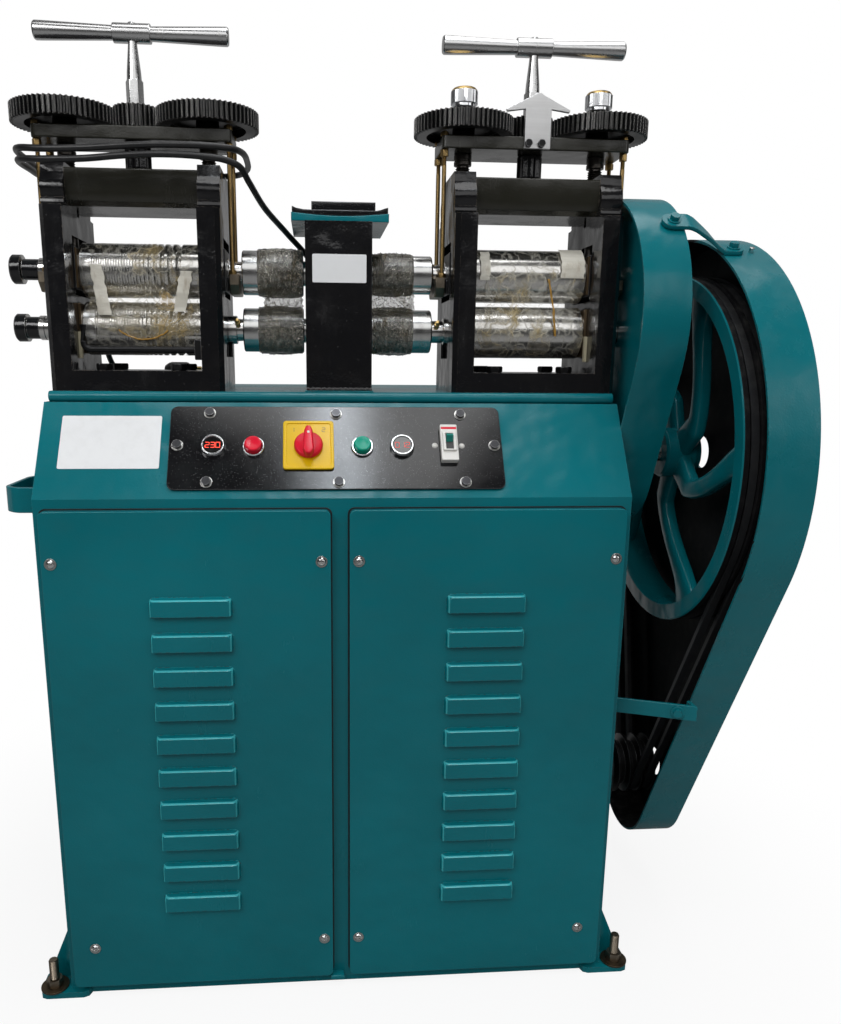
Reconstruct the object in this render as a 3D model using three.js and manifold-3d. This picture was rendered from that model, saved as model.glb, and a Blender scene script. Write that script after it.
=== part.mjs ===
// Motor-driven double-head rolling mill for a jeweller's bench shop.
// Grooved wire rolls on the left, plain sheet rolls on the right, one belt drive for both.
// Millimetres, +Z up, +X to the machine's right as seen from its front, front face at -Y.
// Origin: middle of the base, on the floor.

import * as THREE from 'three';
import { mergeVertices } from 'three/addons/utils/BufferGeometryUtils.js';
import Module from 'manifold-3d';

const wasm = await Module();
wasm.setup();

// Cabinet
const CABINET_HALF_WIDTH = 350;
const CABINET_HALF_DEPTH = 210;
const BASE_THICKNESS = 8;
const SHEET = 3;
const SLOPE_BOTTOM_Z = 649;
const SLOPE_TOP_Z = 755;
const SLOPE_TOP_Y = -136;
const TABLE_Z = 768;
const TABLE_HALF_WIDTH = 345;

// Louvred front doors
const DOOR_PROUD = 12;
const DOOR_BOTTOM = 16.5;
const DOOR_TOP = 636.5;
const DOOR_INNER_EDGE = 11;
const DOOR_OUTER_EDGE = 342;
const LOUVRE_COUNT = 10;
const LOUVRE_PITCH = 43;
const LOUVRE_TOP = 535;
const LOUVRE_CENTRE = 175;
const LOUVRE_WIDTH = 97;
const LOUVRE_HEIGHT = 22;

// Roll heads
const LEFT_HEAD_X = -240;
const RIGHT_HEAD_X = 245;
const HEAD_Y = -54;
const HEAD_HALF_DEPTH = 74;
const POST_OUTER = 103;
const POST_INNER = 76.5;
const HEAD_BASE_TOP = 792;
const SHOULDER_Z = 979;
const NECK_TOP = 1029;
const BEAM_BOTTOM = 982;
const BEAM_TOP = 1023;
const UPPER_ROLL_Z = 913;
const LOWER_ROLL_Z = 843;
const ROLL_RADIUS = 32.5;
const ROLL_HALF_LENGTH = 72.5;
const CHOCK_HALF_DEPTH = 36;
const CHOCK_CORNER = 2;
const CHOCK_FLOOR = 881;
const NECK_RADIUS = 17;
const SADDLE_NECK_RADIUS = 14;
const DRIVE_NECK_RADIUS = 12;

// Screw-down gears
const SCREW_OFFSET = 85;
const SCREW_RADIUS = 9;
const GEAR_MODULE = 2;
const SCREW_GEAR_TEETH = 60;
const PINION_TEETH = 25;
const GEAR_BOTTOM = 1078;
const GEAR_TOP = 1098;
const PINION_BOTTOM = 1076;
const PINION_TOP = 1101;
const PLATE_BOTTOM = 1058;
const PLATE_TOP = 1073;
const PLATE_HALF_WIDTH = 116.5;
const PLATE_HALF_DEPTH = 36.5;
const ROD_X = 112;
const ROD_Y = 25.5;
const ROD_RADIUS = 2.75;
const HANDLE_Z = 1182;
const HANDLE_HALF_LENGTH = 113;

// Drive train
const COLUMN_LEFT = -38;
const COLUMN_RIGHT = 42;
const CAP_LEFT = -54;
const CAP_RIGHT = 62;
const CAP_TOP = 976;
const CAP_SAG = 3.5;
const LID_TOP = 989;
const COLUMN_MODULE = 5;
const COLUMN_PINION_TEETH = 14;
const DRIVE_MODULE = 6;
const BULL_GEAR_TEETH = 40;
const DRIVE_PINION_TEETH = 13;
const PULLEY_Y = -39;
const DRIVE_CENTRES = DRIVE_MODULE * (BULL_GEAR_TEETH + DRIVE_PINION_TEETH) / 2;
const PULLEY_Z = LOWER_ROLL_Z - Math.sqrt(DRIVE_CENTRES ** 2 - (PULLEY_Y - HEAD_Y) ** 2);
const PULLEY_RADIUS = 233;
const PULLEY_LEFT = 451;
const PULLEY_RIGHT = 500;
const SPOKE_COUNT = 5;
const SPOKE_WAIST = 70;
const SPOKE_REACH = 206;
const SPOKE_SWEEP = 41;
const MOTOR_Y = 30;
const MOTOR_Z = 182;
const MOTOR_RADIUS = 80;
const MOTOR_PULLEY_RADIUS = 45;
const GEAR_GUARD_LEFT = 350;
const GEAR_GUARD_WALL = 368;
const GEAR_GUARD_RIGHT = 407;
const BELT_GUARD_LEFT = 455;
const BELT_GUARD_RIGHT = 513.5;
const BELT_GUARD_RADIUS = 278;

const TURN_STEPS = 16;
const GAP = 0.3;

const paint = (color, roughness = 0.35, metalness = 0) =>
  new THREE.MeshStandardMaterial({ color, roughness, metalness });
const TEAL = paint(0x14706b);
const BLACK = paint(0x0d0d0e, 0.25);
const STEEL = paint(0xb9bcbd, 0.3, 1);
const DARK_STEEL = paint(0x2c2c2e, 0.45, 0.6);
const BRASS = paint(0xb08d4a, 0.4, 1);
const RUBBER = paint(0x151515, 0.8);
const DARK_PLASTIC = paint(0x232324, 0.5);
const YELLOW = paint(0xf2b90f, 0.4);
const RED = paint(0xc2221d, 0.35);
const GREEN = paint(0x1d9a55, 0.35);
const WHITE = paint(0xdedfda, 0.4);

// Matrices that turn a flat outline (u, v) and its depth towards the wanted direction.
const AXIS_X = new THREE.Vector3(1, 0, 0);
const AXIS_Y = new THREE.Vector3(0, 1, 0);
const AXIS_Z = new THREE.Vector3(0, 0, 1);
const DEPTH_TO_X = new THREE.Matrix4().makeBasis(AXIS_Y, AXIS_Z, AXIS_X);
const DEPTH_TO_FRONT = new THREE.Matrix4().makeBasis(AXIS_X, AXIS_Z, AXIS_Y.clone().negate());

const radians = (degrees) => degrees * Math.PI / 180;
const point = (x, y) => new THREE.Vector2(x, y);

function arc(cx, cy, radius, start, end, steps) {
  const points = [];
  for (let i = 0; i <= steps; i += 1) {
    const angle = radians(start + (end - start) * i / steps);
    points.push(point(cx + radius * Math.cos(angle), cy + radius * Math.sin(angle)));
  }
  return points;
}

function circle(cx, cy, radius, steps = TURN_STEPS) {
  return arc(cx, cy, radius, 0, 360, steps).slice(0, -1);
}

function rectangle(x0, y0, x1, y1) {
  return [point(x0, y0), point(x1, y0), point(x1, y1), point(x0, y1)];
}

function rounded(x0, y0, x1, y1, radius, steps = 3) {
  return [
    ...arc(x1 - radius, y0 + radius, radius, -90, 0, steps),
    ...arc(x1 - radius, y1 - radius, radius, 0, 90, steps),
    ...arc(x0 + radius, y1 - radius, radius, 90, 180, steps),
    ...arc(x0 + radius, y0 + radius, radius, 180, 270, steps),
  ];
}

// Outline of a belt or drum that wraps round two circles, the second one smaller.
function wrapTwo(y1, z1, r1, y2, z2, r2, steps1 = 18, steps2 = 7) {
  const span = Math.hypot(y2 - y1, z2 - z1);
  const direction = Math.atan2(z2 - z1, y2 - y1) * 180 / Math.PI;
  const lean = Math.acos((r1 - r2) / span) * 180 / Math.PI;
  return [
    ...arc(y1, z1, r1, direction + lean, direction + 360 - lean, steps1),
    ...arc(y2, z2, r2, direction - lean, direction + lean, steps2),
  ];
}

function shapeOf(points, ...holes) {
  const shape = new THREE.Shape(points);
  for (const hole of holes) shape.holes.push(new THREE.Path(hole));
  return shape;
}

function toSolid(geometry) {
  const bare = geometry.clone();
  bare.deleteAttribute('normal');
  bare.deleteAttribute('uv');
  const merged = mergeVertices(bare, 1e-4);
  const position = merged.attributes.position.array;
  const faces = [];
  let volume = 0;
  const a = new THREE.Vector3();
  const b = new THREE.Vector3();
  const c = new THREE.Vector3();
  for (let i = 0; i < merged.index.count; i += 3) {
    const [p, q, r] = [0, 1, 2].map((k) => merged.index.getX(i + k));
    if (p === q || q === r || r === p) continue;
    faces.push([p, q, r]);
    a.fromArray(position, p * 3);
    b.fromArray(position, q * 3);
    c.fromArray(position, r * 3);
    volume += a.dot(b.cross(c));
  }
  if (volume < 0) faces.forEach((face) => face.reverse());
  return new wasm.Manifold(new wasm.Mesh({
    numProp: 3,
    vertProperties: Float32Array.from(position),
    triVerts: Uint32Array.from(faces.flat()),
  }));
}

function toGeometry(solid) {
  const mesh = solid.getMesh();
  const geometry = new THREE.BufferGeometry();
  geometry.setAttribute('position', new THREE.BufferAttribute(new Float32Array(mesh.vertProperties), 3));
  geometry.setIndex(new THREE.BufferAttribute(new Uint32Array(mesh.triVerts), 1));
  geometry.computeVertexNormals();
  return geometry;
}

function extrude(points, depth, holes) {
  return new THREE.ExtrudeGeometry(shapeOf(points, ...holes), { depth, bevelEnabled: false });
}

// Outline in X and Y, standing from z0 to z1.
function prismZ(points, z0, z1, ...holes) {
  return toSolid(extrude(points, z1 - z0, holes).translate(0, 0, z0));
}

// Outline in Y and Z, running from x0 to x1.
function prismX(points, x0, x1, ...holes) {
  return toSolid(extrude(points, x1 - x0, holes).translate(0, 0, x0).applyMatrix4(DEPTH_TO_X));
}

// Outline in X and Z, running from y0 to y1.
function prismY(points, y0, y1, ...holes) {
  return toSolid(extrude(points, y1 - y0, holes).translate(0, 0, -y1).applyMatrix4(DEPTH_TO_FRONT));
}

const box = (x0, x1, y0, y1, z0, z1) => prismZ(rectangle(x0, y0, x1, y1), z0, z1);

function lathe(profile, steps) {
  return new THREE.LatheGeometry(profile.map(([radius, height]) => point(radius, height)), steps);
}

// A turned part: the profile lists radius and place along its axis.
function turnedZ(profile, x, y, steps = TURN_STEPS) {
  return toSolid(lathe(profile, steps).rotateX(Math.PI / 2).translate(x, y, 0));
}

function turnedX(profile, y, z, steps = TURN_STEPS) {
  return toSolid(lathe(profile, steps).rotateZ(-Math.PI / 2).translate(0, y, z));
}

const rodZ = (x, y, z0, z1, radius, steps = TURN_STEPS) =>
  turnedZ([[0, z0], [radius, z0], [radius, z1], [0, z1]], x, y, steps);
const rodX = (y, z, x0, x1, radius, steps = TURN_STEPS) =>
  turnedX([[0, x0], [radius, x0], [radius, x1], [0, x1]], y, z, steps);

const join = (first, ...others) => others.reduce((sum, solid) => sum.add(solid), first);
const cut = (body, ...tools) => tools.reduce((rest, tool) => rest.subtract(tool), body);

const machine = new THREE.Group();

function piece(name, solid, material, parent = machine) {
  const mesh = new THREE.Mesh(toGeometry(solid), material);
  mesh.name = name;
  parent.add(mesh);
  return mesh;
}

// Involute teeth: each tooth runs from the root to the tip along its true flank.
function gearOutline({ cx, cy, teeth, module, phase = 0, addendum = 1, slack = 0.4 }) {
  const pitch = module * teeth / 2;
  const base = pitch * Math.cos(radians(20));
  const tip = pitch + module * addendum;
  const root = pitch - module * (addendum + 0.2);
  const involute = (radius) => {
    const pressure = Math.acos(Math.min(1, base / radius));
    return Math.tan(pressure) - pressure;
  };
  const halfAt = (radius) =>
    (Math.PI * module / 2 - slack) / (2 * pitch) + involute(pitch) - involute(Math.max(radius, base));
  const points = [];
  for (let i = 0; i < teeth; i += 1) {
    const middle = phase + 2 * Math.PI * i / teeth;
    for (const [radius, side] of [[root, -1], [tip, -1], [tip, 1], [root, 1]]) {
      const angle = middle + side * halfAt(radius);
      points.push(point(cx + radius * Math.cos(angle), cy + radius * Math.sin(angle)));
    }
  }
  return points;
}

// Welded base: flat-bar ring, rails for the motor, four foot plates with gussets.
function makeBase() {
  const halfWidth = CABINET_HALF_WIDTH;
  const halfDepth = CABINET_HALF_DEPTH;
  const barWidth = 50;
  const footOut = 388;
  const footInner = 324;
  const gussetHeight = 85;
  const ring = prismZ(
    rectangle(-halfWidth, -halfDepth, halfWidth, halfDepth), 0, BASE_THICKNESS,
    rectangle(barWidth - halfWidth, barWidth - halfDepth, halfWidth - barWidth, halfDepth - barWidth));
  const rails = [[-22, 22], [165, 215], [270, 320]].map(([x0, x1]) =>
    box(x0, x1, -halfDepth + 1, halfDepth - 1, 0, BASE_THICKNESS));
  const feet = [];
  for (const side of [-1, 1]) {
    for (const end of [-1, 1]) {
      const [x0, x1] = side < 0 ? [-footOut, -footInner] : [footInner, footOut];
      const [y0, y1] = end < 0 ? [-220, -175] : [175, 220];
      feet.push(prismZ(rounded(x0, y0, x1, y1, 9, 2), 0, BASE_THICKNESS));
      const gusset = [
        point(side * halfWidth, BASE_THICKNESS - 1), point(side * (footOut - 2), BASE_THICKNESS - 1),
        point(side * halfWidth, BASE_THICKNESS + gussetHeight)];
      const middle = end * 186;
      feet.push(prismY(gusset, middle - 2.5, middle + 2.5));
    }
  }
  piece('base_frame', join(ring, ...rails, ...feet), TEAL);
}

// Side outline of the cabinet, drawn in by the sheet thickness for its inside.
function cabinetSide(inset) {
  const run = SLOPE_TOP_Y + CABINET_HALF_DEPTH;
  const rise = SLOPE_TOP_Z - SLOPE_BOTTOM_Z;
  const slopeLength = Math.hypot(run, rise);
  const front = inset - CABINET_HALF_DEPTH;
  const top = SLOPE_TOP_Z - inset;
  const shift = inset * slopeLength / run;
  const slopeZ = (y) => SLOPE_BOTTOM_Z + (y + CABINET_HALF_DEPTH) * rise / run - shift;
  const slopeY = (z) => (z - SLOPE_BOTTOM_Z + shift) * run / rise - CABINET_HALF_DEPTH;
  const bottom = inset > 0 ? 0 : BASE_THICKNESS;
  return [
    point(front, bottom), point(CABINET_HALF_DEPTH - inset, bottom), point(CABINET_HALF_DEPTH - inset, top),
    point(slopeY(top), top), point(front, slopeZ(front))];
}

function makeCabinet() {
  const half = CABINET_HALF_WIDTH;
  const outside = prismX(cabinetSide(0), -half, half);
  const inside = prismX(cabinetSide(SHEET), SHEET - half, half - SHEET);
  const frontY = -CABINET_HALF_DEPTH;
  const doorways = [-1, 1].map((side) => {
    const [x0, x1] = side < 0 ? [-320, -34] : [34, 320];
    return box(x0, x1, frontY - 1, frontY + SHEET + 1, 60, 590);
  });
  const motorHole = rodX(MOTOR_Y, MOTOR_Z, half - SHEET - 1, half + 1, MOTOR_RADIUS + 12, 20);
  const shaftHole = rodX(PULLEY_Y, PULLEY_Z, half - SHEET - 1, half + 1, 14);
  piece('cabinet_shell', cut(outside, inside, ...doorways, motorHole, shaftHole), TEAL);

  const lip = [
    ...arc(SLOPE_TOP_Y + 6.5, SLOPE_TOP_Z + 6.5, 6.5, 90, 270, 6),
    point(CABINET_HALF_DEPTH, SLOPE_TOP_Z), point(CABINET_HALF_DEPTH, TABLE_Z)];
  piece('top_plate', prismX(lip, -TABLE_HALF_WIDTH, TABLE_HALF_WIDTH), TEAL);
}

// One pressed hood, open along its lower edge.
function louvre(x, top) {
  const faceY = -CABINET_HALF_DEPTH - DOOR_PROUD;
  const bottom = top - LOUVRE_HEIGHT;
  const hood = [
    point(faceY + 1, top), point(faceY - 4.5, top - 3), point(faceY - 7.5, top - 10),
    point(faceY - 8, bottom), point(faceY + 1, bottom)];
  const hollow = [
    point(faceY + 3, top - 3), point(faceY - 3.2, top - 4.6), point(faceY - 6, top - 10.5),
    point(faceY - 6.4, bottom - 1), point(faceY - 0.6, bottom - 1), point(faceY - 0.6, bottom + 2),
    point(faceY + 3, bottom + 2)];
  const half = LOUVRE_WIDTH / 2;
  return [prismX(hood, x - half, x + half), prismX(hollow, x - half + 1.6, x + half - 1.6)];
}

function makeDoor(name, side) {
  const edges = [side * DOOR_INNER_EDGE, side * DOOR_OUTER_EDGE].sort((a, b) => a - b);
  const backY = -CABINET_HALF_DEPTH;
  const faceY = backY - DOOR_PROUD;
  const wall = 2;
  const outer = rounded(edges[0], DOOR_BOTTOM, edges[1], DOOR_TOP, 7);
  const inner = rounded(edges[0] + wall, DOOR_BOTTOM + wall, edges[1] - wall, DOOR_TOP - wall, 5);
  const hoods = [];
  const hollows = [];
  for (let i = 0; i < LOUVRE_COUNT; i += 1) {
    const [hood, hollow] = louvre(side * LOUVRE_CENTRE, LOUVRE_TOP - i * LOUVRE_PITCH);
    hoods.push(hood);
    hollows.push(hollow);
  }
  const pan = cut(prismY(outer, faceY, backY), prismY(inner, faceY + wall, backY + 1));
  piece(name, cut(join(pan, ...hoods), ...hollows), TEAL);
}

// Everything on the slope is placed in its own plane: u across, v up the slope, w out of it.
const SLOPE_TURN = Math.atan2(SLOPE_TOP_Z - SLOPE_BOTTOM_Z, SLOPE_TOP_Y + CABINET_HALF_DEPTH);

function makeControls() {
  const slope = new THREE.Group();
  slope.position.set(0, -CABINET_HALF_DEPTH, SLOPE_BOTTOM_Z);
  slope.rotation.x = SLOPE_TURN;
  machine.add(slope);
  const deviceV = 66;
  const plateTop = GAP + 3;
  const ringAt = (u, outer, inner, height, steps = 12) =>
    turnedZ([[inner, plateTop - 0.5], [outer, plateTop - 0.5], [outer, plateTop + height - 1],
      [outer - 1, plateTop + height], [inner, plateTop + height], [inner, plateTop - 0.5]], u, deviceV, steps);

  const buttons = [['red_button', -101, RED], ['green_button', 28, GREEN]];
  const knobU = -36;
  let plate = prismZ(rounded(-199.7, 10, 197.3, 122, 9), GAP, plateTop);
  for (const [, u] of buttons) {
    plate = join(plate, ringAt(u, 13.8, 10.4, 4));
    plate = cut(plate, rodZ(u, deviceV, -1, plateTop + 1, 10.4, 12));
  }
  plate = cut(plate, rodZ(knobU, deviceV, -1, plateTop + 1, 8, 16));
  piece('control_plate', plate, BLACK, slope);

  for (const [name, u, colour] of buttons) {
    const capProfile = [[0, 4.6], [9.7, 4.6], [9.7, 12.5], [8.7, 13.6], [5, 14.2], [0, 14.4]];
    const cap = turnedZ(capProfile, u, deviceV, 16);
    piece(name, cap, colour, slope);
  }
  for (const [name, u] of [['left_meter', -148.3], ['right_meter', 75.7]]) {
    const base = plateTop + GAP;
    const body = turnedZ([[0, base], [14.4, base], [14.4, base + 5], [13, base + 6.6], [11, base + 6.6],
      [10.4, base + 5], [0, base + 5.4]], u, deviceV, 12);
    piece(name, body, DARK_PLASTIC, slope);
  }

  const squareBottom = plateTop + GAP;
  const square = cut(
    prismZ(rounded(knobU - 30, 35, knobU + 30, 100, 4), squareBottom, squareBottom + 3),
    rodZ(knobU, deviceV, -1, 20, 8, 16));
  piece('switch_plate', square, YELLOW, slope);
  const knobBottom = squareBottom + 3.4;
  const skirt = turnedZ([[0, knobBottom], [17, knobBottom], [17, knobBottom + 3], [15, knobBottom + 6],
    [0, knobBottom + 6]], knobU, deviceV, 16);
  const grip = prismZ([
    ...arc(knobU, deviceV - 13, 4, 180, 360, 3), ...arc(knobU, deviceV + 15, 2.6, 0, 180, 3)],
  knobBottom + 2, knobBottom + 17);
  const stem = rodZ(knobU, deviceV, GAP + 1, knobBottom + 1, 6.5, 16);
  piece('selector_knob', join(skirt, grip, stem), RED, slope);

  const breakerU = 132;
  const breakerV = 68.3;
  const pivotW = 8.5;
  const bodyTop = 12;
  const breakerBody = cut(
    join(
      prismZ(rounded(breakerU - 10.3, breakerV - 24.3, breakerU + 10.3, breakerV + 24.3, 1.5, 1),
        plateTop + GAP, bodyTop),
      prismZ(
        rectangle(breakerU - 8, breakerV - 12.5, breakerU + 8, breakerV + 12.5), bodyTop - 1, bodyTop + 3)),
    prismZ(rectangle(breakerU - 4.6, breakerV - 10.5, breakerU + 4.6, breakerV + 10.5), 5.2, bodyTop + 4));
  piece('breaker', breakerBody, WHITE, slope);
  const lever = new THREE.Group();
  lever.position.set(breakerU, breakerV, pivotW);
  lever.rotation.x = radians(-28);
  slope.add(lever);
  const hub = rodX(0, 0, -4, 4, 3, 12);
  const paddle = box(-3.9, 3.9, -1.6, 1.6, 0, 12.5);
  piece('breaker_lever', join(hub, paddle), DARK_PLASTIC, lever);
}

function makeSideHandle() {
  const reach = -405;
  const bar = 5;
  const wall = -CABINET_HALF_WIDTH;
  const outer = [
    point(wall, -150), point(wall, -30), ...arc(reach + 18, -48, 18, 90, 180, 4),
    ...arc(reach + 18, -132, 18, 180, 270, 4)].reverse();
  const inner = [
    point(wall + 1, -150 + bar), point(wall + 1, -30 - bar),
    ...arc(reach + 18, -48, 18 - bar, 90, 180, 4), ...arc(reach + 18, -132, 18 - bar, 180, 270, 4)].reverse();
  piece('side_handle', cut(prismZ(outer, 623, 654), prismZ(inner, 622, 655)), TEAL);
}

// Half depth of a head's post at each height above the shoulder: a bead, two swells, a flat top.
const NECK_WAVE = [
  [SHOULDER_Z, 58], [SHOULDER_Z + 4, 62], [SHOULDER_Z + 10, 57.5], [SHOULDER_Z + 21, 61],
  [SHOULDER_Z + 30, 58], [SHOULDER_Z + 36, 53.5], [SHOULDER_Z + 46, 52], [NECK_TOP, 48]];

function makeHeadFrame(name, centre) {
  const front = HEAD_Y - HEAD_HALF_DEPTH;
  const rear = HEAD_Y + HEAD_HALF_DEPTH;
  const faceOutline = [
    point(centre - POST_OUTER, TABLE_Z), point(centre + POST_OUTER, TABLE_Z),
    point(centre + POST_OUTER, NECK_TOP), point(centre + POST_INNER, NECK_TOP),
    point(centre + POST_INNER, BEAM_TOP), point(centre - POST_INNER, BEAM_TOP),
    point(centre - POST_INNER, NECK_TOP), point(centre - POST_OUTER, NECK_TOP)];
  const inX = (offset) => centre + offset;
  const window = [
    ...arc(inX(POST_INNER - 6), HEAD_BASE_TOP + 6, 6, -90, 0, 2),
    ...arc(inX(POST_INNER - 14), BEAM_BOTTOM - 14, 14, 0, 90, 4),
    ...arc(inX(14 - POST_INNER), BEAM_BOTTOM - 14, 14, 90, 180, 4),
    ...arc(inX(6 - POST_INNER), HEAD_BASE_TOP + 6, 6, 180, 270, 2)];
  const sideOutline = [
    point(front, TABLE_Z), point(rear, TABLE_Z), point(rear, SHOULDER_Z - 4), point(rear - 4, SHOULDER_Z),
    ...NECK_WAVE.map(([z, half]) => point(HEAD_Y + half, z)),
    ...NECK_WAVE.map(([z, half]) => point(HEAD_Y - half, z)).reverse(),
    point(front + 4, SHOULDER_Z), point(front, SHOULDER_Z - 4)];
  const casting = prismY(faceOutline, front, rear, window)
    .intersect(prismX(sideOutline, centre - POST_OUTER, centre + POST_OUTER));

  // The cross beam stands back from the necks and rounds off underneath, front and rear.
  const beamPocket = (sign) => prismX([
    point(HEAD_Y + sign * 80, BEAM_BOTTOM - 5), point(HEAD_Y + sign * 38, BEAM_BOTTOM - 5),
    point(HEAD_Y + sign * 38, BEAM_BOTTOM), point(HEAD_Y + sign * 45, BEAM_BOTTOM + 3),
    point(HEAD_Y + sign * 50, BEAM_BOTTOM + 9), point(HEAD_Y + sign * 52, BEAM_BOTTOM + 15),
    point(HEAD_Y + sign * 52, NECK_TOP + 1), point(HEAD_Y + sign * 80, NECK_TOP + 1)],
  centre - POST_INNER, centre + POST_INNER);
  const pockets = [beamPocket(-1), beamPocket(1)];

  const openings = [];
  for (const side of [-1, 1]) {
    const x0 = centre + (side < 0 ? -POST_OUTER - 1 : POST_INNER - 1);
    const x1 = centre + (side < 0 ? 1 - POST_INNER : POST_OUTER + 1);
    const chockWindow = rounded(
      HEAD_Y - CHOCK_HALF_DEPTH, CHOCK_FLOOR, HEAD_Y + CHOCK_HALF_DEPTH, 950, CHOCK_CORNER, 1);
    openings.push(prismX(chockWindow, x0, x1));
    openings.push(rodX(HEAD_Y, LOWER_ROLL_Z, x0, x1, NECK_RADIUS + 0.7));
    const screwX = centre + side * SCREW_OFFSET;
    openings.push(turnedZ([[0, 945], [7.7, 945], [7.7, SHOULDER_Z], [SCREW_RADIUS + 0.6, SHOULDER_Z],
      [SCREW_RADIUS + 0.6, NECK_TOP + 1], [0, NECK_TOP + 1]], screwX, HEAD_Y, 12));
    // A wide bevel down the window side of each post, front and rear.
    for (const face of [front, rear]) {
      const corner = centre + side * POST_INNER;
      const inward = face === front ? 1 : -1;
      const bevel = [
        point(corner - side * 2, face - inward * 2), point(corner + side * 7, face - inward * 2),
        point(corner - side * 2, face + inward * 7)];
      openings.push(prismZ(side * inward > 0 ? bevel : bevel.reverse(), HEAD_BASE_TOP, SHOULDER_Z + 1));
    }
  }
  piece(name, cut(casting, ...pockets, ...openings), BLACK);
}

function hexPoints(cx, cy, acrossFlats) {
  return arc(cx, cy, acrossFlats / Math.sqrt(3), 0, 360, 6).slice(0, -1);
}

// Bearing block in the post, the sling outside it and the two rods that hang both from the lift plate.
function makeHanger(name, centre, side) {
  const at = (near, far) => [centre + side * near, centre + side * far].sort((a, b) => a - b);
  const [blockLow, blockHigh] = at(75, 104.5);
  const [bridgeLow, bridgeHigh] = at(104, 109);
  const [slingLow, slingHigh] = at(108, 121);
  const block = prismX(rectangle(HEAD_Y - 35.5, 888, HEAD_Y + 35.5, 938), blockLow, blockHigh);
  const bridge = box(bridgeLow, bridgeHigh, HEAD_Y - 22, HEAD_Y + 22, 889, 906);
  const sling = prismX([
    point(HEAD_Y - 33, 908), point(HEAD_Y - 33, 893), point(HEAD_Y - 25, 885), point(HEAD_Y + 25, 885),
    point(HEAD_Y + 33, 893), point(HEAD_Y + 33, 908)], slingLow, slingHigh);
  const rods = [];
  for (const end of [-1, 1]) {
    const x = centre + side * ROD_X;
    const y = HEAD_Y + end * ROD_Y;
    rods.push(rodZ(x, y, 900, GEAR_BOTTOM - GAP, ROD_RADIUS, 8));
  }
  const blockBore = rodX(HEAD_Y, UPPER_ROLL_Z, ...at(70, 106), NECK_RADIUS + 0.6);
  const slingBore = rodX(HEAD_Y, UPPER_ROLL_Z, ...at(103, 125), SADDLE_NECK_RADIUS + 0.6);
  piece(name, cut(join(block, bridge, sling, ...rods), blockBore, slingBore), BRASS);
}

function makeLiftPlate(name, centre) {
  const plate = prismZ(
    rounded(centre - PLATE_HALF_WIDTH, HEAD_Y - PLATE_HALF_DEPTH,
      centre + PLATE_HALF_WIDTH, HEAD_Y + PLATE_HALF_DEPTH, 3, 1), PLATE_BOTTOM, PLATE_TOP);
  const ribs = 8;
  const bossOutline = arc(centre, HEAD_Y, 17, 0, 360, ribs * 2).slice(0, -1).map((p, i) =>
    (i % 2 ? p : point(centre + (p.x - centre) * 0.92, HEAD_Y + (p.y - HEAD_Y) * 0.92)));
  const boss = prismZ(bossOutline, NECK_TOP, PLATE_BOTTOM + 1);
  const holes = [rodZ(centre, HEAD_Y, NECK_TOP + 5, PLATE_TOP + 1, 8, 12)];
  for (const side of [-1, 1]) {
    const screwX = centre + side * SCREW_OFFSET;
    holes.push(rodZ(screwX, HEAD_Y, PLATE_BOTTOM - 1, PLATE_TOP + 1, SCREW_RADIUS + 0.6, 12));
    for (const end of [-1, 1]) {
      holes.push(rodZ(centre + side * ROD_X, HEAD_Y + end * ROD_Y, PLATE_BOTTOM - 1, PLATE_TOP + 1,
        ROD_RADIUS + 0.6, 8));
    }
  }
  piece(name, cut(join(plate, boss), ...holes), BLACK);
}

// Sixty-tooth gear: a deep rim, a web recessed from below and a hub that stands on the lift plate.
function makeScrewGear(name, x, phase) {
  const outline = gearOutline({ cx: x, cy: HEAD_Y, teeth: SCREW_GEAR_TEETH, module: GEAR_MODULE, phase });
  const toothed = prismZ(outline, GEAR_BOTTOM, GEAR_TOP);
  const floor = GEAR_BOTTOM + 10;
  const recess = turnedZ([[14, GEAR_BOTTOM - 1], [46, GEAR_BOTTOM - 1], [46, floor], [14, floor],
    [14, GEAR_BOTTOM - 1]], x, HEAD_Y, 12);
  const hub = rodZ(x, HEAD_Y, PLATE_TOP + GAP, floor + 1, 14, 12);
  const bore = rodZ(x, HEAD_Y, PLATE_TOP, GEAR_TOP + 1, SCREW_RADIUS + 0.4, 12);
  piece(name, cut(join(cut(toothed, recess), hub), bore), DARK_STEEL);
}

// Pressure screw: thread through the neck, plain tip on the bearing block, collar under the lift plate.
function makePressureScrew(name, x, collared) {
  const head = collared
    ? [[SCREW_RADIUS, 1112], [16.5, 1112], [16.5, 1134], [0, 1135]]
    : [[SCREW_RADIUS, 1101], [0, 1102]];
  const profile = [
    [0, 938.4], [7, 938.4], [7, SHOULDER_Z + 6],
    [SCREW_RADIUS, SHOULDER_Z + 6], [SCREW_RADIUS, 1046], [11, 1046],
    [11, PLATE_BOTTOM - GAP], [SCREW_RADIUS, PLATE_BOTTOM - GAP], ...head];
  piece(name, turnedZ(profile, x, HEAD_Y, 10), STEEL);
}

function makePinion(name, centre) {
  const outline = gearOutline({ cx: centre, cy: HEAD_Y, teeth: PINION_TEETH, module: GEAR_MODULE });
  const stub = rodZ(centre, HEAD_Y, NECK_TOP + 7, PINION_BOTTOM + 1, 7.4);
  piece(name, join(prismZ(outline, PINION_BOTTOM, PINION_TOP - GAP), stub), DARK_STEEL);
}

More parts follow.
